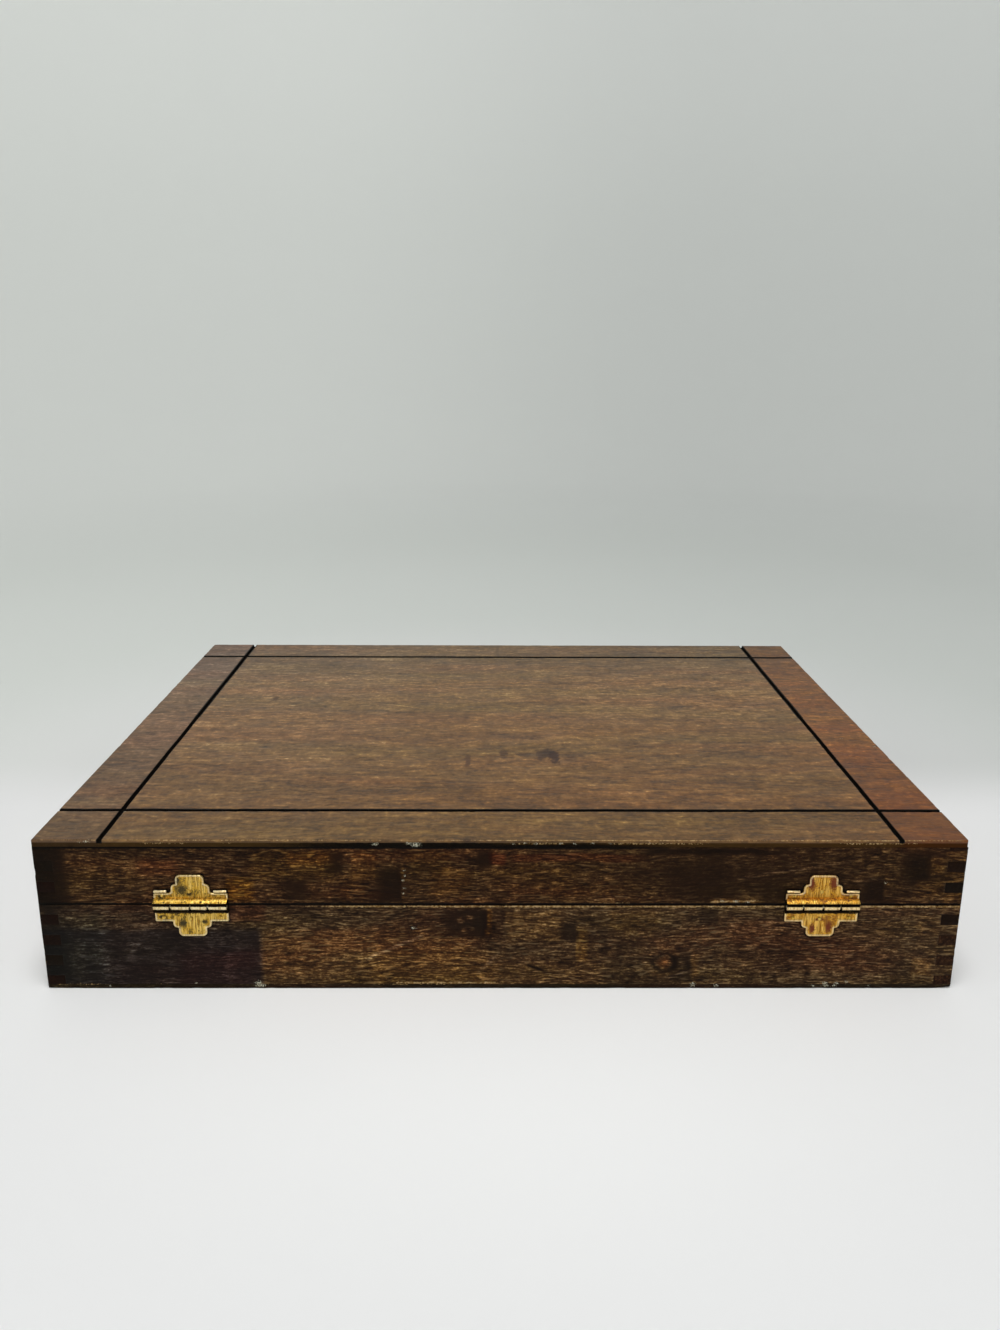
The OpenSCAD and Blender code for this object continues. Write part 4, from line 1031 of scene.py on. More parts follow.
# ------------------------------------------------------------------ brass
def brass(name, base, deep, rough=0.34, tarnish=0.5, seed=0.0, stripes="z", spots=()):
    """Worn brass. The mesh carries rim (worn bright, and on the hinges also a painted highlight) and soil (black with
    grime, and on the hinges painted shade in the gaps).
    """
    m = Tree(name)
    raw = m.vec("SCALE", m.coord("Object"), scale=1000.0)
    co = m.vec("ADD", raw, (seed * 5.1, seed * 2.3, seed * 9.7))
    strokes = (2.1, 0.6, 0.13) if stripes == "z" else (0.13, 0.6, 2.1)
    br = m.noise(m.vec("MULTIPLY", co, strokes), detail=2.0, rough=0.6)
    br2 = m.noise(m.vec("MULTIPLY", co, tuple(3.0 * v for v in strokes)), detail=1.0)
    patch = m.noise(m.vec("MULTIPLY", co, (0.34, 0.34, 0.16)), detail=3.0, rough=0.6)
    spot = m.noise(m.vec("MULTIPLY", co, (1.5, 1.5, 1.2)), detail=2.0, rough=0.65)
    col = m.mix(m.step(br, 0.36, 0.62), base[0], base[1])
    col = m.mix(m.mul(m.step(patch, 0.42, 0.58), 0.75), col, base[2])
    tm = m.mul(m.step(m.add(patch, m.mul(m.math("SUBTRACT", spot, 0.5), 0.7)), 0.53, 0.66), tarnish)
    for x, z, rx, rz in spots:
        d = m.vec("LENGTH", m.vec("MULTIPLY", m.vec("SUBTRACT", raw, (x, 0.0, z)), (1 / rx, 0.0, 1 / rz)))
        d = m.add(d, m.mul(m.math("SUBTRACT", spot, 0.5), 2.2))
        tm = m.math("MAXIMUM", tm, m.step(d, 1.15, 0.55, 0.0, 1.0))
    col = m.mix(tm, col, deep)
    col = m.mix(m.mul(m.step(spot, 0.58, 0.70), 0.6 * tarnish), col, lin(40, 28, 13))
    # Edges worn bright, and on the hinges' borders, bars and barrels a painted highlight
    edge = m.attr("rim", "Fac")
    rubbed_and_highlight = m.mul(edge, m.add(0.26, m.mul(m.step(m.add(m.mul(spot, 0.6), m.mul(br, 0.4)), 0.40, 0.56), 0.40)))
    col = m.mix(rubbed_and_highlight, col, base[3])
    # Black where the mesh marks grime, and on the hinges painted shade in the gaps round the barrel
    soil_and_shade = m.step(m.add(m.attr("soil_and_shade", "Fac"), m.mul(m.math("SUBTRACT", spot, 0.5), 0.9)), 0.35, 0.62)
    col = m.mix(soil_and_shade, col, lin(26, 17, 10))
    r = m.add(rough, m.mul(m.math("SUBTRACT", br, 0.5), 0.3))
    r = m.add(r, m.mul(m.math("MAXIMUM", tm, soil_and_shade), 0.25))
    h = m.add(m.mul(br, 0.6), m.mul(br2, 0.35))
    h = m.add(h, m.mul(spot, -0.3))
    nn = m.bump(h, 0.6, 0.00013)
    met = m.math("MAXIMUM", m.math("SUBTRACT", 0.97, m.mul(tm, 0.40)), soil_and_shade)
    return m.set(Base_Color=col, Metallic=met, Roughness=m.math("ADD", r, 0.0, clamp=True), Normal=nn)


GOLDS = [lin(146, 106, 36), lin(236, 200, 104), lin(206, 160, 50), lin(250, 232, 186)]
WARM_GOLDS = [lin(146, 98, 32), lin(238, 190, 92), lin(208, 150, 42), lin(252, 226, 172)]
brass_left = brass("hinge_brass_left", WARM_GOLDS, lin(118, 52, 16), seed=1.0, tarnish=0.7, spots=(
    (-136.6, 49.6, 1.9, 3.4), (-127.4, 49.6, 1.7, 3.4), (-136.0, 29.5, 1.6, 3.0), (-129.2, 28.6, 1.3, 2.6), (-143.5, 44.2, 1.6, 0.8), (-132.0, 33.0, 2.2, 0.8)))
brass_right = brass("hinge_brass_right", GOLDS, lin(70, 58, 24), seed=2.0, tarnish=0.75, spots=(
    (131.0, 46.5, 2.6, 2.4), (132.6, 50.5, 1.2, 2.0), (128.0, 44.6, 1.4, 1.0), (139.5, 43.4, 2.0, 0.9), (131.4, 31.0, 1.6, 2.2), (122.6, 31.8, 1.4, 1.0), (139.6, 34.0, 2.0, 0.9)))
brass_clasp = brass("clasp_brass", GOLDS, lin(110, 78, 32), seed=3.0, tarnish=0.5)
brass_nail = brass("nail_brass", GOLDS, lin(84, 58, 26), seed=4.0, tarnish=0.7, rough=0.38)
steel = brass("pin_steel", [lin(130, 122, 104), lin(182, 174, 152), lin(150, 138, 104), lin(210, 204, 186)], lin(84, 66, 44), seed=5.0, tarnish=0.5, stripes="x", rough=0.3)


def leaf_outline(i, up):
    """The leaf's outline in (u, w), set in by i: the same points for each i. u is along X and w is away from the pin."""
    def corner(cx, cy, r, a0, a1, k=6):
        return arc(cx, cy, r, a0, a1, k)
    r1, r2, r3 = max(0.6 - i, 0.12), max(1.9 - i, 0.2), max(2.0 - i, 0.25)
    hw1, hw2, hw3 = 15.15 - i, 7.95 - i, 5.85 - i
    t0 = (1.75 if up else 2.2) + i
    t1, t2, t3 = (5.4 - i, 9.5 - i, 13.65 - i) if up else (7.4 - i, 10.4 - i, 14.3 - i)
    right = [(hw1, t0), (hw1, (t0 + t1) / 2)]
    right += corner(hw1 - r1, t1 - r1, r1, 0, 90)
    f = (1.3 if up else 0.5) + i * 0.4
    right += [((hw1 - r1 + hw2 + f) / 2, t1)]
    right += arc(hw2 + f, t1 + f, f, 270, 180, 5)
    right += corner(hw2 - r2, t2 - r2, r2, 0, 62)
    f2 = 0.35 + i * 0.4
    ey = t2 - r2 + r2 * math.sin(math.radians(62))
    right += arc(hw3 + f2, max(ey + 0.25, t2 - 0.05) + f2, f2, 250, 180, 4)
    right += corner(hw3 - r3, t3 - r3, r3, 0, 90)
    left = [(-u, w) for u, w in right[::-1]]
    return right + left


def ring_at(outline, hx, y, up):
    s = 1 if up else -1
    pts = np.array([(hx + u, y, SEAM + s * w) for u, w in outline])
    return pts if up else pts[::-1]


def box_rounded(x0, x1, y0, y1, z0, z1, r=0.12):
    xs = np.array([x0, x0 + r, x1 - r, x1])
    ys = np.array([y0, y0 + r, y1 - r, y1])
    zs = np.array([z0, z0 + r, z1 - r, z1])
    p, q = cells(xs, ys, zs, np.ones((3, 3, 3), bool))
    c = np.stack([np.clip(p[:, 0], x0 + r, x1 - r), np.clip(p[:, 1], y0 + r, y1 - r), np.clip(p[:, 2], z0 + r, z1 - r)], 1)
    d = p - c
    L = np.maximum(np.linalg.norm(d, axis=1), 1e-9)[:, None]
    k = np.where(L > r * 1.01, r / L, 1.0)
    return c + d * k, q


def orient(pts, faces):
    """Faces outwards, whichever way the shell was wound."""
    bm = bmesh.new()
    vs = [bm.verts.new(p) for p in np.asarray(pts).tolist()]
    for f in faces:
        try:
            bm.faces.new([vs[i] for i in f])
        except ValueError:
            pass
    bmesh.ops.recalc_face_normals(bm, faces=bm.faces)
    bm.verts.index_update()
    out = [[v.index for v in f.verts] for f in bm.faces]
    pts = np.array([v.co[:] for v in bm.verts])
    bm.free()
    return pts, out


KNUCKLES = [-15, -7.2, 0, 8.2, 15]
NAILS = [(-11.6, 5.7), (11.6, 5.7), (0.5, 6.2)]


def dome(r, h, n=5):
    """Profile of a low domed head, from its foot to its top."""
    return [(r * math.cos(math.radians(90 * i / n)), h * (0.25 + 0.75 * math.sin(math.radians(90 * i / n)))) for i in range(n + 1)]


def hinge_leaf(hinge, up):
    hx = HINGES[hinge]
    parts = Parts()
    rim = []
    prof = [(0.10, 140.0), (0.0, 140.12), (0.0, 140.50), (0.05, 140.66), (0.18, 140.77), (0.34, 140.80), (0.55, 140.78), (0.72, 140.66), (0.84, 140.52), (1.0, 140.47)]
    rings = [ring_at(leaf_outline(i, up), hx, y, up) for i, y in prof]
    pts, faces = rings_solid(rings)
    pts, faces = orient(pts, faces)
    parts.add(pts, faces)
    # The raised border is worn bright and also brightened as a painted highlight; the plate next to the barrel is
    # painted shade, for the gap between leaf and barrel
    rim.append(np.where((pts[:, 1] > 140.6), 1.0, 0.0))
    soil_and_shade = [np.where(np.abs(pts[:, 2] - SEAM) < (2.0 if up else 3.3), 0.9, 0.0)]
    # Low lip over the barrel, which stops the lid
    lip = [(-1.6, 2.2), (-1.6, 2.9), (-0.8, 3.25), (-0.3, 3.12), (0.25, 2.86), (0.5, 2.70), (1.36, 2.02), (1.42, 1.94), (1.41, 1.86), (1.12, 1.40), (1.06, 1.40), (0.6, 1.65), (0.0, 1.76), (-0.22, 1.76), (-0.4, 2.2)]
    s = 1 if up else -1
    xs = [hx - 15, hx - 14.88] + [hx + v for v in np.linspace(-14.0, 14.0, 15)] + [hx + 14.88, hx + 15]
    rings = []
    for k, xx in enumerate(xs):
        sc = 0.94 if k in (0, len(xs) - 1) else 1.0
        cy, cz = -0.2, 2.7
        rings.append(np.array([(xx, PIN_Y + cy + (a - cy) * sc, SEAM + s * (cz + (b - cz) * sc)) for a, b in lip]))
    pts, faces = orient(*rings_solid(rings))
    parts.add(pts, faces)
    # The lip is painted dark, as the shadow gap between leaf and barrel
    under = np.abs(pts[:, 2] - SEAM) < 1.97
    rim.append(np.full(len(pts), 0.0))
    soil_and_shade.append(np.where(under, 0.95, 0.36) if up else np.full(len(pts), 0.72))
    mine = (0, 2) if up else (1, 3)
    bore = 0.8 if up else 0.75
    for k in mine:
        a = hx + KNUCKLES[k] + (0 if k == 0 else 0.38)
        b = hx + KNUCKLES[k + 1] - (0 if k == 3 else 0.38)
        L = b - a
        prof = [(bore, 0.06), (bore + 0.08, 0.0), (1.28, 0.0), (1.42, 0.06), (1.5, 0.2), (1.5, L * 0.35), (1.5, L * 0.65), (1.5, L - 0.2), (1.42, L - 0.06), (1.28, L), (bore + 0.08, L), (bore, L - 0.06), (bore, 0.06)]
        pts, faces = lathe(prof, "x", (a, PIN_Y, SEAM), 32)
        pts, faces = orient(pts, faces)
        parts.add(pts, faces)
        rim.append(np.full(len(pts), 1.45))
        # the outside of the barrel gets a painted highlight strip, and its top and underside are painted shade
        around = np.degrees(np.arctan2(pts[:, 2] - SEAM, pts[:, 1] - PIN_Y))
        soil_and_shade.append(np.clip(smooth(14, 30, around) + smooth(-58, -80, around), 0, 1) * 0.95)
        # The web from leaf to knuckle, back in the seam, is painted shade
        z0, z1 = (0.0, 2.7) if up else (-2.7, 0.0)
        pts, faces = box_rounded(a, b, PIN_Y - 1.6, PIN_Y - 0.8, SEAM + z0, SEAM + z1, 0.1)
        parts.add(pts, faces)
        rim.append(np.full(len(pts), 0.0))
        soil_and_shade.append(np.full(len(pts), 0.9))
    if up:
        # Rolled ears on the far edges of the wings, brightened as a painted highlight
        for a, b in ((9.6, 14.9), (-14.9, -9.6)):
            prof = [(0.0, 0.0), (0.28, 0.0), (0.46, 0.08), (0.52, 0.25), (0.52, 2.6), (0.52, b - a - 0.25), (0.46, b - a - 0.08), (0.28, b - a), (0.0, b - a)]
            pts, faces = lathe(prof, "x", (hx + a, 140.86, SEAM + 6.42), 16)
            pts, faces = orient(pts, faces)
            parts.add(pts, faces)
            rim.append(np.full(len(pts), 1.5))
            soil_and_shade.append(np.zeros(len(pts)))
            # a dark strip under the roll, painted as its shadow line
            pts, faces = box_rounded(hx + a - 0.1, hx + b + 0.1, 140.0, 140.46, SEAM + 5.2, SEAM + 7.0, 0.08)
            parts.add(pts, faces)
            rim.append(np.zeros(len(pts)))
            soil_and_shade.append(np.full(len(pts), 1.0))
    pts, faces = parts.get()
    name = f"{hinge}_{'upper' if up else 'lower'}_leaf"
    ob = new_object(name + "_brass", pts, faces, brass_left if hinge == "hinge_left" else brass_right, {"rim": np.concatenate(rim), "soil_and_shade": np.concatenate(soil_and_shade)}, sharp=38)
    stand_for(ob, "lid" if up else "base", "hinge_brass", name)


for hinge in HINGES:
    hinge_leaf(hinge, True)
    hinge_leaf(hinge, False)
    hx = HINGES[hinge]
    prof = [(0.0, 0.0), (0.45, 0.0), (0.66, 0.06), (0.75, 0.2), (0.75, 15.15), (0.75, 30.1), (0.66, 30.24), (0.45, 30.3), (0.0, 30.3)]
    pts, faces = orient(*lathe(prof, "x", (hx - 15.15, PIN_Y, SEAM), 24))
    ob = new_object(hinge + "_pin_steel", pts, faces, steel, {"rim": np.zeros(len(pts))}, sharp=40)
    stand_for(ob, "base", "pin_steel", hinge + "_pin")


def nails(name, body, spots, y, s, cad, sink=0.0):
    parts = Parts()
    for x, z in spots:
        prof = [(0.0, -5.0), (0.18, -4.7), (0.45, -3.6), (0.45, -0.02), (0.72, -0.01), (0.80, 0.05)] + [(r * 0.98, h) for r, h in dome(0.82, 0.42)]
        prof[-1] = (0.0, prof[-1][1])
        pts, faces = lathe(prof, "y" if s > 0 else "-y", (x, y, z), 20)
        pts, faces = orient(pts, faces)
        parts.add(pts, faces)
    pts, faces = parts.get()
    ob = new_object(name, pts, faces, brass_nail, {"rim": np.zeros(len(pts))}, sharp=45)
    stand_for(ob, body, "nail_brass", cad)


nails("hinge_upper_nail_heads", "lid", [(hx + u, SEAM + min(w, 4.25 if abs(u) > 5 else 9)) for hx in HINGES.values() for u, w in NAILS], 140.52, 1, "hinge_upper_nails")
nails("hinge_lower_nail_heads", "base", [(hx + u, SEAM - w) for hx in HINGES.values() for u, w in NAILS], 140.52, 1, "hinge_lower_nails")


# ------------------------------------------------------------------ clasp
def rounded_rect(x0, x1, z0, z1, r, i, k=7):
    x0, x1, z0, z1, r = x0 + i, x1 - i, z0 + i, z1 - i, max(r - i, 0.2)
    return (arc(x1 - r, z1 - r, r, 0, 90, k) + arc(x0 + r, z1 - r, r, 90, 180, k) + arc(x0 + r, z0 + r, r, 180, 270, k) + arc(x1 - r, z0 + r, r, 270, 360, k))


def clasp_plate(name, z0, z1, cad, body, boss=False):
    prof = [(0.10, 140.0), (0.0, 140.12), (0.0, 140.50), (0.05, 140.66), (0.18, 140.77), (0.34, 140.80), (0.60, 140.78), (0.80, 140.66), (0.95, 140.56), (1.1, 140.54)]
    rings = [np.array([(u, -y, w) for u, w in rounded_rect(-7, 7, z0, z1, 2.4, i)]) for i, y in prof]
    parts = Parts()
    pts, faces = orient(*rings_solid(rings))
    parts.add(pts, faces)
    rim = [np.where(pts[:, 1] < -140.6, 0.55, 0.0)]
    if boss:
        prof = [(1.3, 0.0), (2.9, 0.0), (2.75, 0.12), (2.45, 0.35), (2.3, 0.62), (2.2, 0.74), (2.0, 0.78), (1.5, 0.78), (1.3, 0.74), (1.3, 0.0)]
        pts, faces = orient(*lathe(prof, "-y", (1.302, -140.5, 29.6), 32))
        parts.add(pts, faces)
        rim.append(np.full(len(pts), 0.2))
    pts, faces = parts.get()
    ob = new_object(name, pts, faces, brass_clasp, {"rim": np.concatenate(rim)}, sharp=38)
    stand_for(ob, body, "clasp_brass", cad)


clasp_plate("clasp_base_plate_brass", 23.4, 37.4, "clasp_base_plate", "base", True)
clasp_plate("clasp_lid_plate_brass", 41.2, 52.6, "clasp_lid_plate", "lid")
nails("clasp_base_nail_heads", "base", [(-4.6, 25.6), (4.6, 25.6), (-4.6, 35.2), (4.6, 35.2)], -140.58, -1, "clasp_base_nails")
nails("clasp_lid_nail_heads", "lid", [(-4.6, 50.2), (4.6, 50.2)], -140.58, -1, "clasp_lid_nails")


def headed_pin(name, x, z, r, head_r, body, cad):
    y1 = 142.75
    prof = [(0.0, -5.0), (r * 0.8, -5.0), (r, -4.7), (r, y1 - 140.0), (head_r - 0.25, y1 - 140.0), (head_r - 0.06, y1 - 139.93), (head_r, y1 - 139.75), (head_r - 0.02, y1 - 139.6)]
    for i in range(1, 6):
        a = math.radians(90 * i / 5)
        prof.append(((head_r - 0.02) * math.cos(a), y1 - 139.6 + 0.5 * math.sin(a)))
    prof[-1] = (0.0, prof[-1][1])
    pts, faces = orient(*lathe(prof, "-y", (x, -140.0, z), 32))
    ob = new_object(name, pts, faces, brass_clasp, {"rim": np.full(len(pts), 0.3)}, sharp=40)
    stand_for(ob, body, "clasp_brass", cad)


headed_pin("clasp_pivot_rivet_brass", 1.302, 29.6, 1.25, 2.3, "base", "clasp_pivot_rivet")
headed_pin("clasp_stud_brass", -1.302, 44.372, 1.5, 2.5, "lid", "clasp_stud")


def hook():
    """The hook keeps the outline of its CAD solid; its edges are rounded."""
    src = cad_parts["clasp_hook"]
    bm = bmesh.new()
    bm.from_mesh(src.data)
    bmesh.ops.remove_doubles(bm, verts=bm.verts, dist=2e-6)
    bmesh.ops.recalc_face_normals(bm, faces=bm.faces)
    bmesh.ops.dissolve_limit(bm, angle_limit=math.radians(0.6), verts=bm.verts, edges=bm.edges)
    sharp = [e for e in bm.edges if len(e.link_faces) == 2 and e.calc_face_angle(0) > math.radians(50)]
    rims = [e for e in sharp if abs(e.verts[0].co.y - e.verts[1].co.y) < 1e-6]
    bmesh.ops.bevel(bm, geom=rims, offset=0.00022, segments=3, profile=0.5, affect="EDGES", clamp_overlap=True)
    me = bpy.data.meshes.new("clasp_hook_brass")
    bm.to_mesh(me)
    bm.free()
    co = np.zeros(len(me.vertices) * 3, np.float32)
    me.vertices.foreach_get("co", co)
    yy = co.reshape(-1, 3)[:, 1]
    # only the bevels, between the two faces, are rubbed bright
    edge = np.minimum(yy - yy.min(), yy.max() - yy)
    me.attributes.new("rim", "FLOAT", "POINT").data.foreach_set("value", np.where((edge > 1e-5) & (edge < 2.5e-4), 0.45, 0.0).astype(np.float32))
    me.materials.append(brass_clasp)
    me.shade_smooth()
    me.set_sharp_from_angle(angle=math.radians(35))
    ob = bpy.data.objects.new("clasp_hook_brass", me)
    bpy.context.scene.collection.objects.link(ob)
    stand_for(ob, "clasp_hook", "clasp_brass", "clasp_hook")


hook()


# ------------------------------------------------------------------ cloth lining
def cloth(name, dark, mid, light, seed=0.0):
    m = Tree(name)
    co = m.vec("ADD", m.vec("SCALE", m.coord("Object"), scale=1000.0), (seed * 3.1, seed * 1.7, seed * 5.3))
    nap = m.noise(co, scale=2.6, detail=3.0, rough=0.7)
    lay = m.noise(co, scale=0.035, detail=3.0, rough=0.6)
    rub = m.noise(co, scale=0.12, detail=2.0, rough=0.5)
    fz = m.noise(m.vec("MULTIPLY", co, (5.5, 5.5, 5.5)), detail=1.0)
    g = m.add(m.mul(nap, 0.55), m.mul(lay, 0.45))
    col = m.ramp(g, [(0.30, dark), (0.50, mid), (0.72, light)])
    col = m.mix(m.mul(m.step(rub, 0.52, 0.70), 0.35), col, m.mix(1.0, col, (1.3, 1.22, 1.2, 1), "MULTIPLY"))
    h = m.add(m.mul(nap, 0.7), m.mul(fz, 0.5))
    nn = m.bump(lay, 0.25, 0.004, m.bump(h, 0.55, 0.00035))
    m.set(Base_Color=col, Roughness=0.92, Normal=nn, Sheen_Weight=0.45, Sheen_Roughness=0.45)
    m.bsdf.inputs["Sheen Tint"].default_value = lin(214, 140, 140)
    m.bsdf.inputs["Specular IOR Level"].default_value = 0.2
    return m.mat


lining = cloth("lining_cloth", lin(58, 12, 18), lin(92, 22, 30), lin(122, 38, 46), 1.0)
racking = cloth("rack_cloth", lin(64, 14, 20), lin(100, 25, 33), lin(132, 44, 52), 2.0)


def soft_slab(name, x0, x1, y0, y1, z0, z1, r, step, body, cad, mat, slot, puff=0.12, axis=2):
    """A cloth-covered card: rounded edges and a face that isn't quite flat."""
    def ax(a, b):
        L = b - a
        if L < 3 * r:
            k = 4
            return np.linspace(a, b, k + 1)
        v = [a, a + 0.3 * r, a + 0.65 * r, a + r]
        w = [b - r, b - 0.65 * r, b - 0.3 * r, b]
        k = max(1, int((b - a - 2 * r) / step))
        return np.array(v + [a + r + (b - a - 2 * r) * i / k for i in range(1, k)] + w)

    xs, ys, zs = ax(x0, x1), ax(y0, y1), ax(z0, z1)
    p, quads = cells(xs, ys, zs, np.ones((len(xs) - 1, len(ys) - 1, len(zs) - 1), bool))
    lo, hi = np.array([x0, y0, z0]), np.array([x1, y1, z1])
    rr = np.minimum(r, (hi - lo) / 2 * 0.98)
    c = np.clip(p, lo + rr, hi - rr)
    d = (p - c) / rr
    L = np.linalg.norm(d, axis=1)[:, None]
    q = np.where(L > 1.0, c + d / np.maximum(L, 1e-9) * rr, p)
    x, y, z = p.T
    w = (fbm(x / 34, y / 34, z / 34, 131, 3) - 0.5) * 2 * puff + (fbm(x / 9, y / 9, z / 9, 132, 2) - 0.5) * puff * 0.5
    thin = int(np.argmin(hi - lo)) if axis is None else axis
    mid = (lo + hi)[thin] / 2
    side = np.sign(p[:, thin] - mid)
    q[:, thin] -= side * np.clip(np.abs(w), 0, 0.3)
    ob = new_object(name, q, quads, mat, None, sharp=60)
    return stand_for(ob, body, slot, cad)


LZ0, LZ1 = 41.0, 64.24
soft_slab("base_floor_cloth", -IN_X, IN_X, -IN_Y, IN_Y, 2.0, 3.5, 0.5, 4.5, "base", "base_floor_lining", lining, "lining_cloth")
soft_slab("base_front_cloth", -IN_X, IN_X, -IN_Y, -IN_Y + 1.2, 3.5, 38.0, 0.55, 4.0, "base", "base_front_lining", lining, "lining_cloth", axis=1)
soft_slab("base_back_cloth", -IN_X, IN_X, IN_Y - 1.2, IN_Y, 3.5, 38.0, 0.55, 4.0, "base", "base_back_lining", lining, "lining_cloth", axis=1)
soft_slab("base_left_cloth", -IN_X, -IN_X + 1.2, -IN_Y + 1.2, IN_Y - 1.2, 3.5, 38.0, 0.55, 4.0, "base", "base_left_lining", lining, "lining_cloth", axis=0)
soft_slab("base_right_cloth", IN_X - 1.2, IN_X, -IN_Y + 1.2, IN_Y - 1.2, 3.5, 38.0, 0.55, 4.0, "base", "base_right_lining", lining, "lining_cloth", axis=0)
soft_slab("lid_top_cloth", -IN_X, IN_X, -IN_Y, IN_Y, 64.24, 65.44, 0.5, 4.5, "lid", "lid_top_lining", lining, "lining_cloth")
soft_slab("lid_front_cloth", -IN_X, IN_X, -IN_Y, -IN_Y + 1.2, LZ0, LZ1, 0.55, 4.0, "lid", "lid_front_lining", lining, "lining_cloth", axis=1)
soft_slab("lid_back_cloth", -IN_X, IN_X, IN_Y - 1.2, IN_Y, LZ0, LZ1, 0.55, 4.0, "lid", "lid_back_lining", lining, "lining_cloth", axis=1)
soft_slab("lid_left_cloth", -IN_X, -IN_X + 1.2, -IN_Y + 1.2, IN_Y - 1.2, LZ0, LZ1, 0.55, 4.0, "lid", "lid_left_lining", lining, "lining_cloth", axis=0)
soft_slab("lid_right_cloth", IN_X - 1.2, IN_X, -IN_Y + 1.2, IN_Y - 1.2, LZ0, LZ1, 0.55, 4.0, "lid", "lid_right_lining", lining, "lining_cloth", axis=0)
soft_slab("knife_pocket_spacer_cloth", -IN_X + 1.2, IN_X - 1.2, -118, -112, 55.24, 64.24, 1.0, 4.0, "lid", "knife_pocket_spacer", racking, "rack_cloth", axis=1)
soft_slab("knife_pocket_strip_cloth", -IN_X + 1.2, IN_X - 1.2, -118, -88, 51.24, 55.24, 1.6, 3.0, "lid", "knife_pocket_strip", racking, "rack_cloth", axis=2, puff=0.18)


def bar_outline(hx, z0, z1, slots, pitch, w, deep, up, rt=2.0, rb=3.0):
    """Outline in (x, z) of a rack bar with slots open at its top (or at its bottom), a point about every millimetre, anticlockwise."""
    h = z1 - z0
    pts = []

    def seg(a, b, step=1.6):
        k = max(1, int(math.hypot(b[0] - a[0], b[1] - a[1]) / step))
        return [(a[0] + (b[0] - a[0]) * i / k, a[1] + (b[1] - a[1]) * i / k) for i in range(k)]

    corners = arc(-hx + 1.0, 1.0, 1.0, 180, 270, 4)
    pts += corners
    pts += seg((-hx + 1.0, 0), (hx - 1.0, 0), 3.0)[1:]
    pts += arc(hx - 1.0, 1.0, 1.0, 270, 360, 4)
    pts += seg((hx, 1.0), (hx, h - rt))[1:]
    pts += arc(hx - rt, h - rt, rt, 0, 90, 5)
    xs = [(i - (slots - 1) / 2) * pitch for i in range(slots)][::-1]
    cur = hx - rt
    for cx in xs:
        pts += seg((cur, h), (cx + w / 2 + rt, h))[1:]
        pts += arc(cx + w / 2 + rt, h - rt, rt, 90, 180, 5)
        pts += seg((cx + w / 2, h - rt), (cx + w / 2, h - deep + rb))[1:]
        pts += arc(cx + w / 2 - rb, h - deep + rb, rb, 0, -90, 6)
        pts += seg((cx + w / 2 - rb, h - deep), (cx - w / 2 + rb, h - deep))[1:]
        pts += arc(cx - w / 2 + rb, h - deep + rb, rb, 270, 180, 6)
        pts += seg((cx - w / 2, h - deep + rb), (cx - w / 2, h - rt))[1:]
        pts += arc(cx - w / 2 - rt, h - rt, rt, 0, 90, 5)
        cur = cx - w / 2 - rt
    pts += seg((cur, h), (-hx + rt, h))[1:]
    pts += arc(-hx + rt, h - rt, rt, 90, 180, 5)
    pts += seg((-hx, h - rt), (-hx, 1.0))[1:]
    out = []
    for p in pts:
        if not out or math.hypot(p[0] - out[-1][0], p[1] - out[-1][1]) > 0.05:
            out.append(p)
    if math.hypot(out[0][0] - out[-1][0], out[0][1] - out[-1][1]) < 0.05:
        out.pop()
    o = np.array(out)
    o[:, 1] = z0 + o[:, 1] if up else z1 - o[:, 1]
    return o if up else o[::-1]


def rack(name, y0, y1, outline, body, cad, seed):
    o = outline
    prev, nxt = np.roll(o, 1, 0), np.roll(o, -1, 0)
    t = nxt - prev
    t /= np.maximum(np.linalg.norm(t, axis=1), 1e-9)[:, None]
    nrm = np.stack([-t[:, 1], t[:, 0]], 1)  # inwards for an anticlockwise outline
    r = 1.3
    steps = [(r * (1 - math.sin(math.radians(a))), r * (1 - math.cos(math.radians(a)))) for a in (0, 18, 36, 54, 72, 90)]
    ys = [(y0 + b, a) for a, b in steps]
    mids = [(y0 + r + (y1 - y0 - 2 * r) * i / 5, 0.0) for i in range(1, 5)]
    ys += mids + [(y1 - b, a) for a, b in steps[::-1]]
    rings = []
    for k, (y, inset) in enumerate(ys):
        wob = (fbm(o[:, 0] / 7, o[:, 1] / 7, y / 5, seed, 3) - 0.35) * 0.28
        wob = np.clip(wob, 0.0, 0.3)
        flat = np.abs(o[:, 1] - outline[:, 1].min()) < 0.01 if body == "base" else np.abs(o[:, 1] - outline[:, 1].max()) < 0.01
        d = inset + np.where(flat, 0, wob)
        q = o + nrm * d[:, None]
        rings.append(np.stack([q[:, 0], np.full(len(q), y), q[:, 1]], 1))
    pts, faces = rings_solid(rings)
    # The two end caps stay flat; turn the faces outwards
    pts, faces = orient(pts, faces)
    ob = new_object(name, pts, faces, racking, None, sharp=50)
    return stand_for(ob, body, "rack_cloth", cad)


RX = IN_X - 1.2
for nm, yc, cad in (("flatware_rack_front_cloth", -70, "flatware_rack_front"), ("flatware_rack_rear_cloth", 70, "flatware_rack_rear")):
    rack(nm, yc - 8, yc + 8, bar_outline(RX, 3.5, 27.5, 12, 30, 15, 18, True), "base", cad, 141)
rack("knife_handle_bar_cloth", 55, 73, bar_outline(RX, 45.24, 64.24, 8, 42, 14, 15, False), "lid", "knife_handle_bar", 142)


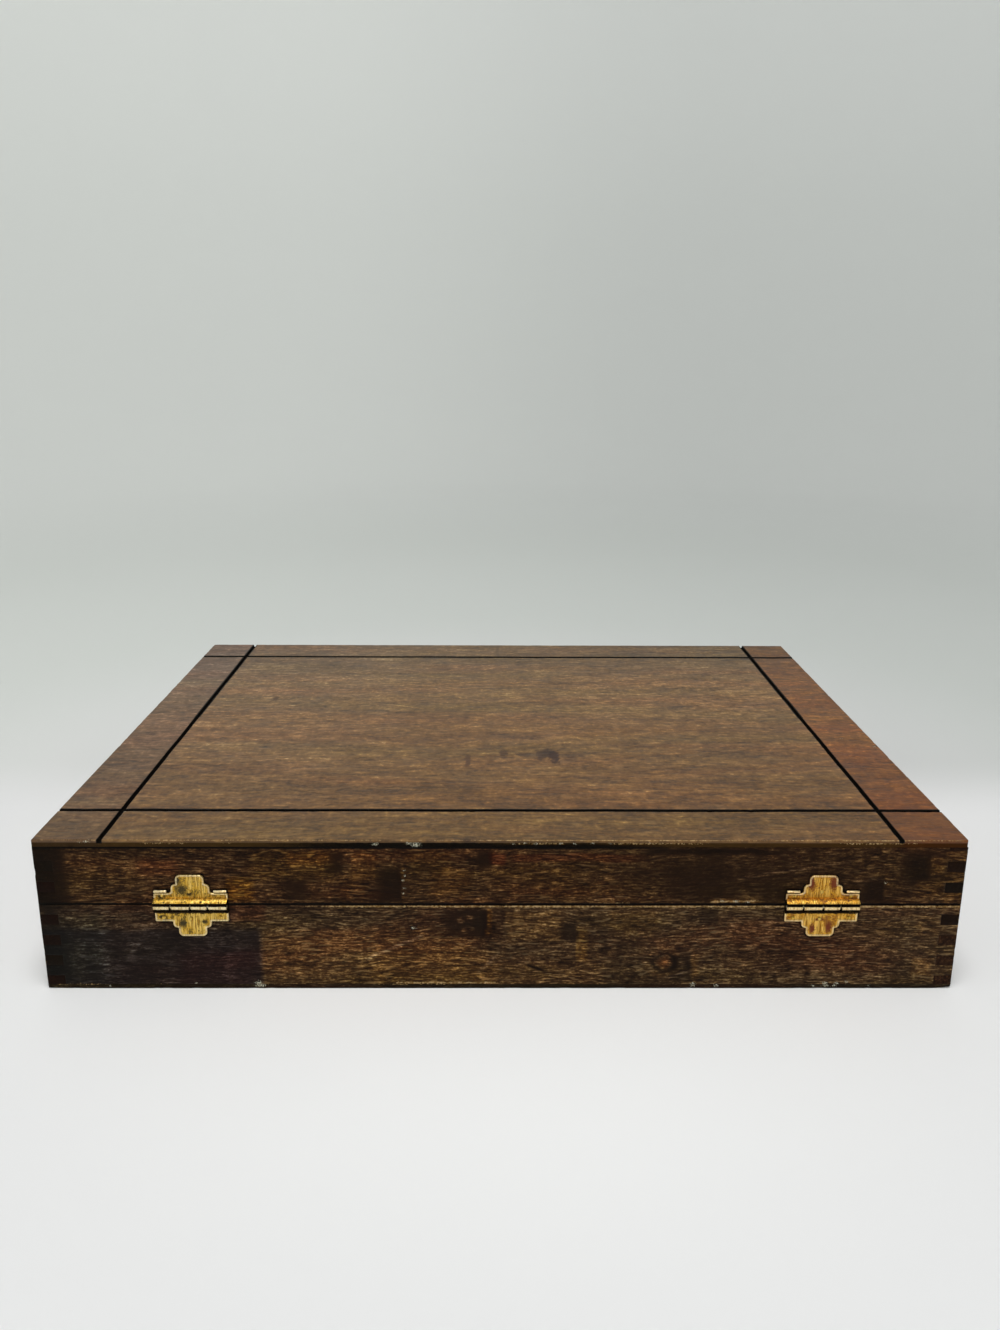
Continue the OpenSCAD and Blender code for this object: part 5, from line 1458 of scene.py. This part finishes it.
# ------------------------------------------------------------------ stage, light and camera
def stage_bowl():
    prof = [(0.0, 0.0)]
    for r in (0.2, 0.4, 0.7, 1.0, 1.35):
        prof.append((r, 0.0))
    for i in range(1, 13):
        a = math.radians(90 * i / 12)
        prof.append((1.35 + 0.55 * math.sin(a), 0.55 - 0.55 * math.cos(a)))
    for z in (0.9, 1.4, 2.0, 2.6):
        prof.append((1.9, z))
    segs = 96
    pts = [(0, 0, 0)]
    faces = []
    rows = [[0]]
    for r, z in prof[1:]:
        row = []
        for s in range(segs):
            a = 2 * math.pi * s / segs
            row.append(len(pts))
            pts.append((r * math.cos(a) * 1000, r * math.sin(a) * 1000, z * 1000))
        rows.append(row)
    for p, q in zip(rows, rows[1:]):
        for s in range(segs):
            t = (s + 1) % segs
            faces.append([p[0], q[s], q[t]] if len(p) == 1 else [p[s], q[s], q[t], p[t]])
    m = Tree("studio_floor")
    x, y, z = m.sep(m.coord("Object"))[0:3]
    rad = m.vec("LENGTH", m.comb(x, y, 0.0))
    # The floor is whiter right round the chest, a painted brightening that cancels its contact shadow, and turns into a
    # light grey sweep behind it
    far = m.math("MAXIMUM", m.step(y, -0.02, -0.11), m.step(rad, 0.55, 1.0))
    col = m.mix(m.step(rad, 0.16, 0.32), lin(252, 252, 252), lin(236, 236, 237))
    grey = m.mix(m.step(rad, 0.22, 0.50), lin(214, 215, 214), lin(203, 207, 203))
    grey = m.mix(m.step(rad, 0.8, 1.5), grey, lin(216, 219, 216))
    col = m.mix(far, col, grey)
    # Painted light and shade: the grey sweep is darker towards -X and lighter towards +X
    col = m.mix(far, col, m.mix(1.0, col, m.mix(m.step(x, -0.5, 0.5), (0.91, 0.91, 0.915, 1), (1.09, 1.085, 1.085, 1)), "MULTIPLY"))
    soft = m.noise(m.coord("Object"), scale=3.0, detail=2.0)
    col = m.mix(m.mul(m.step(soft, 0.3, 0.7), 0.06), col, lin(214, 215, 215))
    # The sweep and walls glow a little, a painted light that lifts them beyond what the lamp gives
    m.set(Base_Color=col, Roughness=0.75, Emission_Color=(1.0, 1.0, 0.99, 1.0), Emission_Strength=m.add(m.mul(far, 0.04), m.step(z, 0.1, 1.2, 0.0, 0.09)))
    m.bsdf.inputs["Specular IOR Level"].default_value = 0.2
    ob = new_object("studio_floor", pts, faces, m.mat, None, sharp=80)


stage_bowl()

world = bpy.data.worlds.new("studio")
bpy.context.scene.world = world
world.use_nodes = True
bg = world.node_tree.nodes["Background"]
bg.inputs["Color"].default_value = (0.97, 0.985, 1.0, 1.0)
bg.inputs["Strength"].default_value = 0.25


def area(name, loc, target, size, power, colour=(1, 1, 1)):
    li = bpy.data.lights.new(name, "AREA")
    li.shape = "DISK"
    li.size = size
    li.energy = power
    li.color = colour
    ob = bpy.data.objects.new(name, li)
    ob.location = loc
    ob.rotation_mode = "QUATERNION"
    ob.rotation_quaternion = (Vector(target) - Vector(loc)).to_track_quat("-Z", "Y")
    bpy.context.scene.collection.objects.link(ob)
    return ob


area("overhead", (0.0, 0.6, 2.1), (0, 0.05, 0), 0.9, 26.0, (1.0, 0.99, 0.985))

# Camera: at the photograph's place, worked out from the chest's own corners in it
F_PX = 1016.122
CAM = Vector((0.0038446, 0.5156220, 0.2615816))
YAW, PITCH, ROLL = -0.0074518, -0.2535387, 0.0044841
fwd = Vector((math.sin(YAW) * math.cos(PITCH), -math.cos(YAW) * math.cos(PITCH), math.sin(PITCH)))
right = fwd.cross(Vector((0, 0, 1))).normalized()
upv = right.cross(fwd)
c, s = math.cos(ROLL), math.sin(ROLL)
right, upv = right * c + upv * s, upv * c - right * s
cam = bpy.data.cameras.new("camera")
cam.sensor_width = 36.0
cam.sensor_fit = "AUTO"
cam.lens = F_PX / 1330.0 * 36.0
cam.shift_y = -0.03991
cam.clip_start, cam.clip_end = 0.01, 20.0
cam_ob = bpy.data.objects.new("camera", cam)
cam_ob.matrix_world = Matrix((
    (right.x, upv.x, -fwd.x, CAM.x),
    (right.y, upv.y, -fwd.y, CAM.y),
    (right.z, upv.z, -fwd.z, CAM.z),
    (0, 0, 0, 1)))
bpy.context.scene.collection.objects.link(cam_ob)
bpy.context.scene.camera = cam_ob
bpy.context.scene.view_settings.view_transform = "Standard"
bpy.context.scene.view_settings.look = "None"
